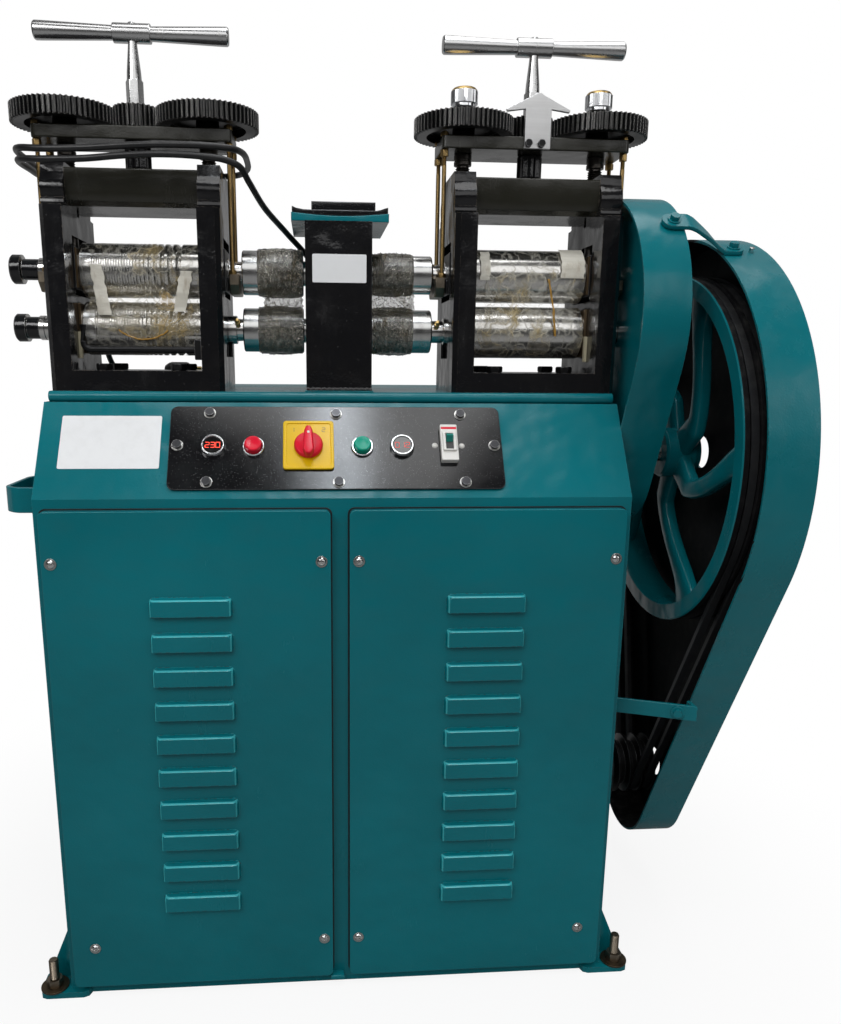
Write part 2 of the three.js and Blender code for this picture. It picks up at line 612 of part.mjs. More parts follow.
function makeHandle(name, centre) {
  const hexTop = 1131;
  const spindle = turnedZ(
    [[0, hexTop - 1], [9.7, hexTop - 1], [9, 1140], [5.2, 1171], [5.2, HANDLE_Z], [0, HANDLE_Z]],
    centre, HEAD_Y, 12);
  const hex = prismZ(hexPoints(centre, HEAD_Y, 21), PINION_TOP, hexTop);
  const end = HANDLE_HALF_LENGTH;
  const barHalf = [[0, -end], [10.5, -end], [10.5, 7 - end], [8.2, 14 - end], [8, -24], [10.8, -22]];
  const barProfile = [
    ...barHalf, ...barHalf.slice().reverse().map(([radius, place]) => [radius, -place])]
    .map(([radius, place]) => [radius, centre + place]);
  piece(name, join(spindle, hex, turnedX(barProfile, HEAD_Y, HANDLE_Z, 12)), STEEL);
}

// V grooves get larger from one end of the wire rolls to the other.
function grooves(start, end) {
  const widths = [3, 3.5, 4, 5, 6, 7.5, 9.5, 12, 14.5, 17, 20];
  const used = widths.reduce((sum, width) => sum + width, 0);
  const land = (end - start - used) / (widths.length + 1);
  const points = [];
  let place = start;
  for (const width of widths) {
    place += land;
    points.push(
      [ROLL_RADIUS, place], [ROLL_RADIUS - width / 2, place + width / 2], [ROLL_RADIUS, place + width]);
    place += width;
  }
  return points;
}

// A roll's profile from its left end to its right end, as offsets from the head's centre.
function rollProfile(leftEnd, barrelMiddle, rightEnd) {
  const barrel = ROLL_HALF_LENGTH;
  return [
    ...leftEnd, [NECK_RADIUS, -barrel], [ROLL_RADIUS, -barrel],
    ...barrelMiddle,
    [ROLL_RADIUS, barrel], [NECK_RADIUS, barrel], ...rightEnd];
}

const mirrorEnd = (end) => end.map(([radius, place]) => [radius, -place]).reverse();
const shifted = (profile, centre) => profile.map(([radius, place]) => [radius, place + centre]);

const DRIVE_END = 147;
const UPPER_DRIVE_SIDE = [
  [NECK_RADIUS, 106], [SADDLE_NECK_RADIUS, 106], [SADDLE_NECK_RADIUS, 122], [DRIVE_NECK_RADIUS, 122],
  [DRIVE_NECK_RADIUS, DRIVE_END], [0, DRIVE_END]];
const LOWER_DRIVE_SIDE = [
  [NECK_RADIUS, 104], [17.5, 104], [17.5, 114], [DRIVE_NECK_RADIUS, 114],
  [DRIVE_NECK_RADIUS, DRIVE_END], [0, DRIVE_END]];

function makeRolls() {
  const steps = 12;
  const upperStub = [
    [0, -160], [15.5, -160], [17.5, -158], [17.5, -147],
    [12.5, -146], [12.5, -126], [SADDLE_NECK_RADIUS, -125],
    [SADDLE_NECK_RADIUS, -106], [NECK_RADIUS, -106]];
  const lowerStub = [
    [0, -160], [15.5, -160], [17, -158], [17, -146], [13.5, -144], [13.5, -131], [15, -131], [15, -124],
    [NECK_RADIUS, -123]];
  const grooved = grooves(-ROLL_HALF_LENGTH + 2, ROLL_HALF_LENGTH - 2);
  const leftUpper = rollProfile(upperStub, grooved, UPPER_DRIVE_SIDE);
  const leftLower = rollProfile(lowerStub, grooved, LOWER_DRIVE_SIDE);
  piece('left_upper_roll', turnedX(shifted(leftUpper, LEFT_HEAD_X), HEAD_Y, UPPER_ROLL_Z, steps), STEEL);
  piece('left_lower_roll', turnedX(shifted(leftLower, LEFT_HEAD_X), HEAD_Y, LOWER_ROLL_Z, steps), STEEL);

  const freeEnd = [
    [NECK_RADIUS, 106], [SADDLE_NECK_RADIUS, 106], [SADDLE_NECK_RADIUS, 121.5], [0, 121.5]];
  const gearEnd = [
    [NECK_RADIUS, 127], [DRIVE_NECK_RADIUS, 127], [DRIVE_NECK_RADIUS, 157], [0, 157]];
  const rightUpper = rollProfile(mirrorEnd(UPPER_DRIVE_SIDE), [], freeEnd);
  const rightLower = rollProfile(mirrorEnd(LOWER_DRIVE_SIDE), [], gearEnd);
  piece('right_upper_roll', turnedX(shifted(rightUpper, RIGHT_HEAD_X), HEAD_Y, UPPER_ROLL_Z), STEEL);
  piece('right_lower_roll', turnedX(shifted(rightLower, RIGHT_HEAD_X), HEAD_Y, LOWER_ROLL_Z), STEEL);
}

// Column shafts: a hollow sleeve at each end takes a roll's neck, with the pinion between them.
function makeCouplingShaft(name, z, rightRadius, rightBore, phase) {
  const leftRadius = 27;
  const leftBore = 22;
  const profile = [
    [0, -88], [leftBore, -88], [leftBore, -117],
    [leftRadius - 1, -117], [leftRadius, -116], [leftRadius, -41],
    [15, -41], [15, 45], [rightRadius, 45], [rightRadius, 121], [rightRadius - 1, 122], [rightBore, 122],
    [rightBore, 93], [0, 93]];
  const pinion = prismX(gearOutline({
    cx: HEAD_Y, cy: z, teeth: COLUMN_PINION_TEETH, module: COLUMN_MODULE, phase, addendum: 0.8, slack: 0.6,
  }), -28, 32);
  piece(name, join(turnedX(profile, HEAD_Y, z, 12), pinion), STEEL);
}

function makeColumn() {
  const front = HEAD_Y - HEAD_HALF_DEPTH;
  const rear = HEAD_Y + HEAD_HALF_DEPTH;
  const wall = 4;
  const walls = prismZ(
    rounded(COLUMN_LEFT, front, COLUMN_RIGHT, rear, 3, 2), TABLE_Z, 966);
  const hollow = box(COLUMN_LEFT + wall, COLUMN_RIGHT - wall, front + wall, rear - wall, TABLE_Z + 12, 967);
  const bores = [UPPER_ROLL_Z, LOWER_ROLL_Z].map((z) =>
    rodX(HEAD_Y, z, COLUMN_LEFT - 1, COLUMN_RIGHT + 1, 16));
  piece('gear_column', cut(walls, hollow, ...bores), BLACK);
  const capMiddle = (CAP_LEFT + CAP_RIGHT) / 2;
  const sag = (x, ends, depth) => ends - depth * (1 - ((x - capMiddle) / (CAP_RIGHT - capMiddle)) ** 2);
  const stations = [-1, -0.6, -0.2, 0.2, 0.6, 1].map((share) => capMiddle + share * (CAP_RIGHT - capMiddle));
  const capOutline = [
    point(CAP_LEFT, 966), point(CAP_RIGHT, 966),
    ...stations.slice().reverse().map((x) => point(x, sag(x, CAP_TOP, CAP_SAG)))];
  piece('column_cap', prismY(capOutline, -124, 16), TEAL);
  const lidOutline = [
    ...stations.map((x) => point(x, sag(x, CAP_TOP + GAP, CAP_SAG))),
    point(CAP_RIGHT - 1, CAP_TOP + 7), point(COLUMN_RIGHT + 6, CAP_TOP + 4.5), point(COLUMN_RIGHT + 4, LID_TOP),
    point(COLUMN_LEFT + 8, LID_TOP), point(COLUMN_LEFT + 4, CAP_TOP + 3), point(CAP_LEFT + 1, CAP_TOP + 7)];
  piece('column_lid', prismY(lidOutline, -123, 15), BLACK);
}

function makeGearGuard() {
  const centreY = -53.4;
  const centreZ = 859;
  const radius = 150;
  const lowerRadius = 90;
  const wall = 3;
  const outline = (inset) => wrapTwo(
    centreY, centreZ, radius - inset, PULLEY_Y, PULLEY_Z, lowerRadius - inset);
  const drum = prismX(outline(0), GEAR_GUARD_LEFT, GEAR_GUARD_RIGHT);
  const gearRoom = prismX(outline(wall), GEAR_GUARD_WALL + wall, GEAR_GUARD_RIGHT - wall);
  const recess = prismX(outline(wall), GEAR_GUARD_LEFT - 1, GEAR_GUARD_WALL);
  const neckHole = rodX(HEAD_Y, LOWER_ROLL_Z, GEAR_GUARD_WALL - 1, GEAR_GUARD_WALL + wall + 1, 18.5);
  const shaftHole = rodX(PULLEY_Y, PULLEY_Z, GEAR_GUARD_WALL - 1, GEAR_GUARD_RIGHT + 1, 14);
  // The head's outer rods pass down through this notch in the rim.
  const rodNotch = box(GEAR_GUARD_LEFT - 1, GEAR_GUARD_LEFT + 14, HEAD_Y - 36, HEAD_Y + 36, 980, 1020);
  piece('gear_guard', cut(drum, gearRoom, recess, neckHole, shaftHole, rodNotch), TEAL);
}

function makeBullGear() {
  const x0 = 375;
  const x1 = 400;
  const direction = Math.atan2(PULLEY_Z - LOWER_ROLL_Z, PULLEY_Y - HEAD_Y);
  const toothed = prismX(gearOutline({
    cx: HEAD_Y, cy: LOWER_ROLL_Z, teeth: BULL_GEAR_TEETH, module: DRIVE_MODULE, phase: direction, slack: 0.6,
  }), x0, x1);
  const bore = rodX(HEAD_Y, LOWER_ROLL_Z, x0 - 1, x1 + 1, DRIVE_NECK_RADIUS + 0.3);
  piece('bull_gear', cut(toothed, bore), STEEL);

  const pinionPhase = direction + Math.PI + Math.PI / DRIVE_PINION_TEETH;
  const pinion = prismX(gearOutline({
    cx: PULLEY_Y, cy: PULLEY_Z, teeth: DRIVE_PINION_TEETH, module: DRIVE_MODULE, phase: pinionPhase, slack: 0.6,
  }), x0, x1);
  const shaft = turnedX([[0, 305], [11.5, 305], [12.5, 306], [12.5, 504], [11.5, 505], [0, 505]],
    PULLEY_Y, PULLEY_Z, 12);
  piece('pulley_shaft', join(shaft, pinion), STEEL);
}

// Two V grooves, as a run of profile points along the rim from left to right.
function rimGrooves(outer, depth, centres) {
  return centres.flatMap((x) => [[outer, x - 7.5], [outer - depth, x - 5.5], [outer - depth, x + 5.5],
    [outer, x + 7.5]]);
}

const BELT_CENTRES = [466, 485];
const SPARE_GROOVE = 447;
const GROOVE_DEPTH = 12;

function makeBullPulley() {
  const steps = 24;
  const rimInner = 212;
  const rim = turnedX([
    [rimInner, PULLEY_LEFT], [PULLEY_RADIUS, PULLEY_LEFT],
    ...rimGrooves(PULLEY_RADIUS, GROOVE_DEPTH, BELT_CENTRES),
    [PULLEY_RADIUS, PULLEY_RIGHT], [rimInner, PULLEY_RIGHT], [rimInner, PULLEY_LEFT]],
  PULLEY_Y, PULLEY_Z, steps);
  const hub = rodX(PULLEY_Y, PULLEY_Z, 452, 500, 34);
  const spokes = [];
  for (let i = 0; i < SPOKE_COUNT; i += 1) {
    const along = (radius, offset) => {
      const share = (radius - SPOKE_WAIST) / (SPOKE_REACH - SPOKE_WAIST);
      const angle = radians(360 * i / SPOKE_COUNT + 1 - SPOKE_SWEEP * (1 - (1 - share) ** 2));
      return point(
        PULLEY_Y + radius * Math.cos(angle) - offset * Math.sin(angle),
        PULLEY_Z + radius * Math.sin(angle) + offset * Math.cos(angle));
    };
    const stations = [[28, 20], [48, 18], [75, 17], [110, 16], [145, 16], [178, 19], [200, 25], [215, 33]];
    const outline = [
      ...stations.map(([radius, half]) => along(radius, -half)),
      ...stations.map(([radius, half]) => along(radius, half)).reverse()];
    spokes.push(prismX(outline, 464, 484));
  }
  const bore = rodX(PULLEY_Y, PULLEY_Z, 450, 501, 12.9);
  piece('bull_pulley', cut(join(rim, hub, ...spokes), bore), TEAL);
}

function makeMotor() {
  const frontX = 432;
  const body = turnedX([
    [0, 168], [58, 168], [68, 178], [MOTOR_RADIUS, 190], [MOTOR_RADIUS, 400], [72, 414], [66, 420], [40, 424],
    [36, frontX], [0, frontX]], MOTOR_Y, MOTOR_Z, 16);
  const cradle = box(190, 305, MOTOR_Y - 62, MOTOR_Y + 62, BASE_THICKNESS, MOTOR_Z - 30);
  const arch = box(228, 267, MOTOR_Y - 63, MOTOR_Y + 63, BASE_THICKNESS - 1, 60);
  piece('motor', cut(join(body, cradle), arch), DARK_STEEL);

  const pulley = turnedX([
    [0, frontX + GAP], [11, frontX + GAP], [11, 436], [MOTOR_PULLEY_RADIUS, 437],
    ...rimGrooves(MOTOR_PULLEY_RADIUS, GROOVE_DEPTH, [SPARE_GROOVE, ...BELT_CENTRES]),
    [MOTOR_PULLEY_RADIUS, 495], [0, 498]], MOTOR_Y, MOTOR_Z);
  piece('motor_pulley', pulley, DARK_STEEL);
}

function makeBelts() {
  const clearance = 0.9;
  const thickness = 9;
  const loop = (lift) => wrapTwo(
    PULLEY_Y, PULLEY_Z, PULLEY_RADIUS - GROOVE_DEPTH + clearance + lift,
    MOTOR_Y, MOTOR_Z, MOTOR_PULLEY_RADIUS - GROOVE_DEPTH + clearance + lift, 26, 6);
  ['inner_belt', 'outer_belt'].forEach((name, i) => {
    const middle = BELT_CENTRES[i];
    piece(name, prismX(loop(thickness), middle - 4.8, middle + 4.8, loop(0)), RUBBER);
  });
}

function makeBeltGuard() {
  const wall = 3;
  const lowerY = 22;
  const lowerZ = 180;
  const outline = (inset) => wrapTwo(
    PULLEY_Y, PULLEY_Z, BELT_GUARD_RADIUS - inset, lowerY, lowerZ, 98 - inset, 24);
  const shell = prismX(outline(0), BELT_GUARD_LEFT, BELT_GUARD_RIGHT);
  const room = prismX(outline(wall), BELT_GUARD_LEFT - 1, BELT_GUARD_RIGHT - wall);
  const holes = [[PULLEY_Y, PULLEY_Z], [MOTOR_Y, MOTOR_Z]].map(([y, z]) =>
    rodX(y, z, BELT_GUARD_RIGHT - wall - 1, BELT_GUARD_RIGHT + 1, 22));
  piece('belt_guard', cut(shell, room, ...holes), TEAL);
}

// A bar drawn through a run of four-cornered sections.
function loft(sections) {
  const position = sections.flat(2);
  const index = [];
  const quad = (a, b, c, d) => index.push(a, b, c, a, c, d);
  for (let i = 0; i < sections.length - 1; i += 1) {
    for (let k = 0; k < 4; k += 1) {
      const next = (k + 1) % 4;
      quad(4 * i + k, 4 * i + next, 4 * i + 4 + next, 4 * i + 4 + k);
    }
  }
  const last = 4 * (sections.length - 1);
  quad(3, 2, 1, 0);
  quad(last, last + 1, last + 2, last + 3);
  const geometry = new THREE.BufferGeometry();
  geometry.setAttribute('position', new THREE.Float32BufferAttribute(position, 3));
  geometry.setIndex(index);
  return toSolid(geometry);
}

// A flat strap end lying on a drum: its corners at one place along X.
function strapSection(x, y, z, leanDegrees, halfWidth, thickness) {
  const lean = radians(leanDegrees);
  const across = [Math.cos(lean), Math.sin(lean)];
  const out = [-Math.sin(lean), Math.cos(lean)];
  const corner = (a, t) => [x, y + a * across[0] + t * out[0], z + a * across[1] + t * out[1]];
  return [
    corner(-halfWidth, 0), corner(halfWidth, 0), corner(halfWidth, thickness), corner(-halfWidth, thickness),
  ];
}

function makeStraps() {
  const flat = 12;
  const bar = 5;
  piece('upper_strap', loft([
    strapSection(380, -160.2, 966.2, 45, flat, bar), strapSection(412, -160.2, 966.2, 45, flat, bar),
    strapSection(436, -160, 952, 35, flat, bar), strapSection(456, -159.6, 935.5, 25.9, flat, bar),
    strapSection(482, -159.6, 935.5, 25.9, flat, bar)]), TEAL);

  // Plan outline of the lower bar: a foot on the cabinet wall, then out to the open edge of the belt guard.
  const wallX = CABINET_HALF_WIDTH;
  const plan = [
    point(wallX, -136), point(wallX, -172), point(wallX + 60, -196), point(BELT_GUARD_LEFT, -214),
    point(BELT_GUARD_LEFT, -190), point(BELT_GUARD_LEFT - 5, -190), point(BELT_GUARD_LEFT - 5, -205),
    point(wallX + 58, -190), point(wallX + 5, -168), point(wallX + 5, -136)];
  piece('lower_strap', prismZ(plan, 358, 378), TEAL);
}

function makeWorkRest() {
  const y = -120;
  const x0 = -307;
  const rightPost = LEFT_HEAD_X + POST_INNER;
  const bar = rodX(y, 817, x0, rightPost, 4, 12);
  const arm = rodZ(x0 + 4, y, 817, 846, 4, 12);
  const foot = box(rightPost - 8, rightPost, y - 8, y + 10, 805, 829);
  piece('work_rest', join(bar, arm, foot), DARK_STEEL);
}

function makePointer() {
  const face = HEAD_Y - PLATE_HALF_DEPTH;
  const tipX = RIGHT_HEAD_X - 1;
  const stemHalf = 16;
  const barbReach = 39;
  const barbZ = 1101;
  const tipZ = 1120.5;
  const halfOutline = [
    [stemHalf, PLATE_BOTTOM], [stemHalf, barbZ + 1.5], [barbReach - 1, barbZ - 1.5], [barbReach, barbZ + 1],
    [6, tipZ - 2.5], [2.5, tipZ]];
  const outline = [
    ...halfOutline.map(([across, z]) => point(tipX + across, z)),
    ...halfOutline.slice().reverse().map(([across, z]) => point(tipX - across, z))];
  piece('arrow_pointer', prismY(outline, face - 5, face), STEEL);
}

// Mains lead: out of its gland behind the column, twice round the left head, plug laid behind the head.
const CORD_RADIUS = 3.75;
const CORD_ROUTE = [
  [2, 60, 779], [2, 60, 800], [0, 55, 830], [-6, 46, 870], [-16, 38, 905], [-34, 30, 940], [-62, 0, 968],
  [-88, -60, 990], [-103, -110, 1010], [-112, -134, 1022],
  [-128, -143, 1027], [-160, -145, 1030], [-200, -144, 1031], [-240, -143, 1029], [-285, -141, 1025],
  [-330, -138, 1024], [-357, -126, 1026], [-369, -98, 1029], [-371, -54, 1030], [-368, -8, 1030], [-352, 14, 1032],
  [-320, 22, 1034], [-240, 24, 1038], [-160, 22, 1040], [-126, 12, 1041], [-112, -14, 1042], [-108, -60, 1043],
  [-111, -112, 1042], [-122, -134, 1041], [-150, -144, 1041], [-200, -144, 1041], [-240, -143, 1039],
  [-285, -141, 1036], [-330, -138, 1035], [-358, -125, 1038], [-371, -96, 1041], [-374, -54, 1041],
  [-372, 0, 1038], [-362, 26, 1028], [-345, 38, 1000], [-330, 44, 950], [-322, 50, 880], [-318, 58, 820],
  [-310, 72, 792], [-298, 88, 785], [-282, 92, 785],
  [-270, 92, 785], [-262, 92, 785]];

function makeCord() {
  const stops = CORD_ROUTE.map((p) => new THREE.Vector3(...p));
  const curve = new THREE.CatmullRomCurve3(stops, false, 'centripetal');
  curve.arcLengthDivisions = 800;
  const steps = 72;
  const section = shapeOf(circle(0, 0, CORD_RADIUS, 6));
  const tube = new THREE.ExtrudeGeometry(section, { steps, extrudePath: curve, bevelEnabled: false });
  piece('power_cord', toSolid(tube), RUBBER);
  const samples = curve.getSpacedPoints(600);
  const spacing = curve.getLength() / 600;
  let least = Infinity;
  for (let i = 0; i < samples.length; i += 1) {
    for (let j = i + Math.ceil(60 / spacing); j < samples.length; j += 1) {
      least = Math.min(least, samples[i].distanceTo(samples[j]));
    }
  }
  const gap = least - 2 * CORD_RADIUS;
  console.log(`cord length ${curve.getLength().toFixed(0)} mm, least gap ${gap.toFixed(2)} mm`);

  const [glandX, glandY, glandTop] = CORD_ROUTE[0];
  piece('cord_gland', turnedZ([[0, TABLE_Z], [11, TABLE_Z], [11, TABLE_Z + 4], [8, TABLE_Z + 5],
    [6, glandTop - GAP], [0, glandTop - GAP]], glandX, glandY, 16), RUBBER);
  const [plugX, plugY, plugZ] = CORD_ROUTE[CORD_ROUTE.length - 1];
  const start = plugX + GAP;
  const plugAxisZ = TABLE_Z + 17;
  const body = turnedX([
    [0, start + 18], [12, start + 18], [16, start + 24], [17, start + 28], [17, start + 52],
    [0, start + 52]], plugY, plugAxisZ, 20);
  const sleeve = turnedX([[0, start], [4.6, start], [6, start + 24], [0, start + 24]], plugY, plugZ, 12);
  const pins = [[0, 8], [-11, -6], [11, -6]].map(([dy, dz]) =>
    rodX(plugY + dy, plugAxisZ + dz, start + 50, start + 70, 3, 8));
  piece('cord_plug', join(sleeve, body, ...pins), DARK_PLASTIC);
}

makeBase();
makeCabinet();
makeDoor('left_door', -1);
makeDoor('right_door', 1);
makeControls();
makeSideHandle();
makeColumn();
makeRolls();
makeCouplingShaft('upper_coupling_shaft', UPPER_ROLL_Z, 23.5, 19, -Math.PI / 2 + Math.PI / COLUMN_PINION_TEETH);
makeCouplingShaft('lower_coupling_shaft', LOWER_ROLL_Z, 27, 22, Math.PI / 2);
makeGearGuard();
makeBullGear();
makeBullPulley();
makeMotor();
makeBelts();
makeBeltGuard();
makeStraps();
makeWorkRest();
makeCord();

for (const [side, centre] of [['left', LEFT_HEAD_X], ['right', RIGHT_HEAD_X]]) {
  makeHeadFrame(`${side}_head_frame`, centre);
  makeLiftPlate(`${side}_lift_plate`, centre);
  makePinion(`${side}_pinion`, centre);
  makeHandle(`${side}_t_handle`, centre);
  for (const [place, sign] of [['left', -1], ['right', 1]]) {
    const x = centre + sign * SCREW_OFFSET;
    const inward = (sign > 0) === (side === 'left');
    makeHanger(`${side}_${inward ? 'inner' : 'outer'}_hanger`, centre, sign);
    makeScrewGear(`${side}_head_${place}_gear`, x, sign > 0 ? Math.PI / SCREW_GEAR_TEETH : 0);
    makePressureScrew(`${side}_head_${place}_screw`, x, side === 'right');
  }
}
makePointer();

export default machine;
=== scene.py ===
"""Looks for a motor-driven twin-head rolling mill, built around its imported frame."""

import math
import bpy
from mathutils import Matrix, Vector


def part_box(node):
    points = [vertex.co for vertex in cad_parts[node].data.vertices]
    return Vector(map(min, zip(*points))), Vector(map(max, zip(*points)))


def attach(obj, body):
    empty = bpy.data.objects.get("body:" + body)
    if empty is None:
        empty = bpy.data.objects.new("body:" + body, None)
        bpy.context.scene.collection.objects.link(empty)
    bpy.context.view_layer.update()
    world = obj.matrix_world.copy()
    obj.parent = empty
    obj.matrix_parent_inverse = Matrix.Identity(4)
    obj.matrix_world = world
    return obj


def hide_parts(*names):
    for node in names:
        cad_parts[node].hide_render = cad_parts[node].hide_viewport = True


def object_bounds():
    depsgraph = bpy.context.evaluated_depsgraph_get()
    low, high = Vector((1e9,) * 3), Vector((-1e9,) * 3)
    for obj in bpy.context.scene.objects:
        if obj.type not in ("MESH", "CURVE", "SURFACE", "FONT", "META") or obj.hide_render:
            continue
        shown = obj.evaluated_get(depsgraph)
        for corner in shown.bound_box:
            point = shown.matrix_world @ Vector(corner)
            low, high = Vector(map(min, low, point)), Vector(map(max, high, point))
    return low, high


bl_info = {
    "name": "Twin-head rolling mill",
    "version": (1, 0, 0),
    "blender": (4, 5, 0),
    "location": "View3D > Sidebar > Rolling mill",
    "description": "Builds the finished surfaces of a jeweller's twin-head rolling mill",
    "category": "Object",
}

import bmesh
import bpy
from bpy.props import FloatProperty, FloatVectorProperty, PointerProperty
from mathutils import Matrix, Vector, noise
from mathutils.geometry import tessellate_polygon

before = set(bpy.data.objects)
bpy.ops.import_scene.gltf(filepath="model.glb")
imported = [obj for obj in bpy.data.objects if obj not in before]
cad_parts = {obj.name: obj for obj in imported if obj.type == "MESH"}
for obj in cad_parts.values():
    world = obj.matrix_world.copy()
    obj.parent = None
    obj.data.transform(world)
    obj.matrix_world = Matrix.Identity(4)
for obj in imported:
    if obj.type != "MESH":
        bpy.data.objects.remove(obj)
CAD_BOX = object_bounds()

# Driving sizes in millimetres
MM = 0.001
HEADS = {"left": -240.0, "right": 245.0}
HEAD_Y = -54.0
UPPER_Z = 913.0
LOWER_Z = 843.0
ROLL_RADIUS = 32.5
ROLL_HALF = 72.5
PULLEY_Y = -39.0
PULLEY_Z = LOWER_Z - math.sqrt(159.0**2 - (PULLEY_Y - HEAD_Y) ** 2)
MOTOR_Y = 30.0
MOTOR_Z = 182.0
FRONT_Y = -210.0
SLOPE_Z = 649.0
SLOPE_TURN = math.atan2(755.0 - SLOPE_Z, -136.0 - FRONT_Y)
SIDES = (-1, 1)

# Screw-down gears on the heads, and the gears of the column and the drive
SCREW_OFFSET = 85
SCREW_HOLE = 9.6
SCREW_TEETH = 60
PINION_TEETH = 25
SCREW_MODULE = 2
COLUMN_TEETH = 14
COLUMN_MODULE = 5
BULL_TEETH = 40
DRIVE_TEETH = 13
DRIVE_MODULE = 6
DRIVE_BAND = (375, 400)
BELT_CENTRES = (466, 485)

# The belt guard's two rounds: y, z and radius
GUARD_TOP = (PULLEY_Y, PULLEY_Z, 278)
GUARD_FOOT = (22, 180, 98)

# Height on the slope of the row of buttons and meters, and where the buttons are across it
DEVICE_V = 66
BUTTONS = {"red": -101, "green": 28}

# Points closer than this are one point, and sharper corners than this stay corners
MERGE = 0.002 * MM
CREASE = 38.0


def span(node):
    """Lowest and highest corner of a node of the frame, in millimetres."""
    low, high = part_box(node)
    return low / MM, high / MM


def beside(centre, side, near, far):
    """Both ends of a stretch on one side of a centre, the lower one first."""
    return sorted((centre + side * near, centre + side * far))


# Outlines, as lists of flat points in millimetres


def arc(cx, cy, radius, start, end, steps):
    points = []
    for i in range(steps + 1):
        angle = math.radians(start + (end - start) * i / steps)
        points.append((cx + radius * math.cos(angle), cy + radius * math.sin(angle)))
    return points


def ring(cx, cy, radius, steps=48):
    return arc(cx, cy, radius, 0, 360, steps)[:-1]


def rounded(x0, y0, x1, y1, radius, steps=6):
    return [
        *arc(x1 - radius, y0 + radius, radius, -90, 0, steps),
        *arc(x1 - radius, y1 - radius, radius, 0, 90, steps),
        *arc(x0 + radius, y1 - radius, radius, 90, 180, steps),
        *arc(x0 + radius, y0 + radius, radius, 180, 270, steps),
    ]


def corners(x0, y0, x1, y1):
    return [(x0, y0), (x1, y0), (x1, y1), (x0, y1)]


def wrap_two(first, second, inset=0.0, steps=72):
    """A belt line round two circles, each given as its centre and radius; the first is the larger."""
    (y1, z1, r1), (y2, z2, r2) = first, second
    turn = math.degrees(math.atan2(z2 - z1, y2 - y1))
    lean = math.degrees(math.acos((r1 - r2) / math.hypot(y2 - y1, z2 - z1)))
    return [
        *arc(y1, z1, r1 - inset, turn + lean, turn + 360 - lean, steps),
        *arc(y2, z2, r2 - inset, turn - lean, turn + lean, steps // 3),
    ]


def soften(line, radius, closed=False, steps=3):
    """The same line with each real corner rounded off."""
    count = len(line)
    result = []
    for i, here in enumerate(line):
        if not closed and i in (0, count - 1):
            result.append(here)
            continue
        a, b, c = Vector(line[i - 1]), Vector(here), Vector(line[(i + 1) % count])
        back, ahead = a - b, c - b
        reach = min(back.length, ahead.length) * 0.45
        if reach < 1e-4 or back.angle(-ahead) < math.radians(20):
            result.append(here)
            continue
        half = back.angle(ahead) / 2
        cut = min(reach, radius / math.tan(half)) if half > 0.02 else reach
        start, end = b + back.normalized() * cut, b + ahead.normalized() * cut
        for k in range(steps + 1):
            t = k / steps
            result.append(tuple(start * (1 - t) ** 2 + b * 2 * t * (1 - t) + end * t**2))
    return result


def gear_outline(cx, cy, teeth, module, phase=0.0, addendum=1.0, slack=0.4):
    """Involute teeth with rounded roots."""
    pitch = module * teeth / 2
    base = pitch * math.cos(math.radians(20))
    tip, root = pitch + module * addendum, pitch - module * (addendum + 0.2)

    def involute(radius):
        pressure = math.acos(min(1.0, base / radius))
        return math.tan(pressure) - pressure

    def half_at(radius):
        spread = involute(pitch) - involute(max(radius, base))
        return (math.pi * module / 2 - slack) / (2 * pitch) + spread

    flank = [root + (tip - root) * share for share in (0.0, 0.12, 0.35, 0.6, 0.82, 1.0)]
    widen = {0: 0.12 * module / root, 1: 0.02 * module / root}
    points = []
    for i in range(teeth):
        middle = phase + 2 * math.pi * i / teeth
        for side, order in ((-1, flank), (1, flank[::-1])):
            for radius in order:
                angle = middle + side * (half_at(radius) + widen.get(flank.index(radius), 0.0))
                points.append((cx + radius * math.cos(angle), cy + radius * math.sin(angle)))
    return points


# Solid shapes, as points in millimetres with faces that each know their finish

TURNS = {
    "Z": Matrix.Identity(4),
    "X": Matrix(((0, 0, 1, 0), (1, 0, 0, 0), (0, 1, 0, 0), (0, 0, 0, 1))),
    "Y": Matrix(((1, 0, 0, 0), (0, 0, -1, 0), (0, 1, 0, 0), (0, 0, 0, 1))),
}


def tube_faces(rows, count, closed=False):
    """Faces between rows of points that each close into a ring; closed joins the last row to the first."""
    faces = []
    for i in range(rows if closed else rows - 1):
        a, b = i * count, (i + 1) % rows * count
        for k in range(count):
            n = (k + 1) % count
            faces.append((a + k, a + n, b + n, b + k))
    return faces


def end_faces(rows, count):
    """The two faces that close such a tube's ends."""
    return [tuple(reversed(range(count))), tuple(range((rows - 1) * count, rows * count))]


class Shape:
    """Points in millimetres and faces; more shapes can be added to it."""

    def __init__(self, points=(), faces=(), finish=0):
        self.points = [Vector(p) for p in points]
        self.faces = [tuple(f) for f in faces]
        self.finishes = [finish] * len(self.faces)

    def add(self, *others):
        for other in others:
            start = len(self.points)
            self.points += other.points
            self.faces += [tuple(i + start for i in f) for f in other.faces]
            self.finishes += other.finishes
        return self

    def placed(self, matrix):
        moved = Shape()
        moved.points = [matrix @ p for p in self.points]
        moved.faces = list(self.faces)
        moved.finishes = list(self.finishes)
        return moved

    def moved(self, x=0.0, y=0.0, z=0.0):
        return self.placed(Matrix.Translation((x, y, z)))

    def painted(self, where=lambda middle: True):
        """Gives the second finish to the faces whose middle passes a test."""
        for index, face in enumerate(self.faces):
            if where(sum((self.points[k] for k in face), Vector()) / len(face)):
                self.finishes[index] = 1
        return self


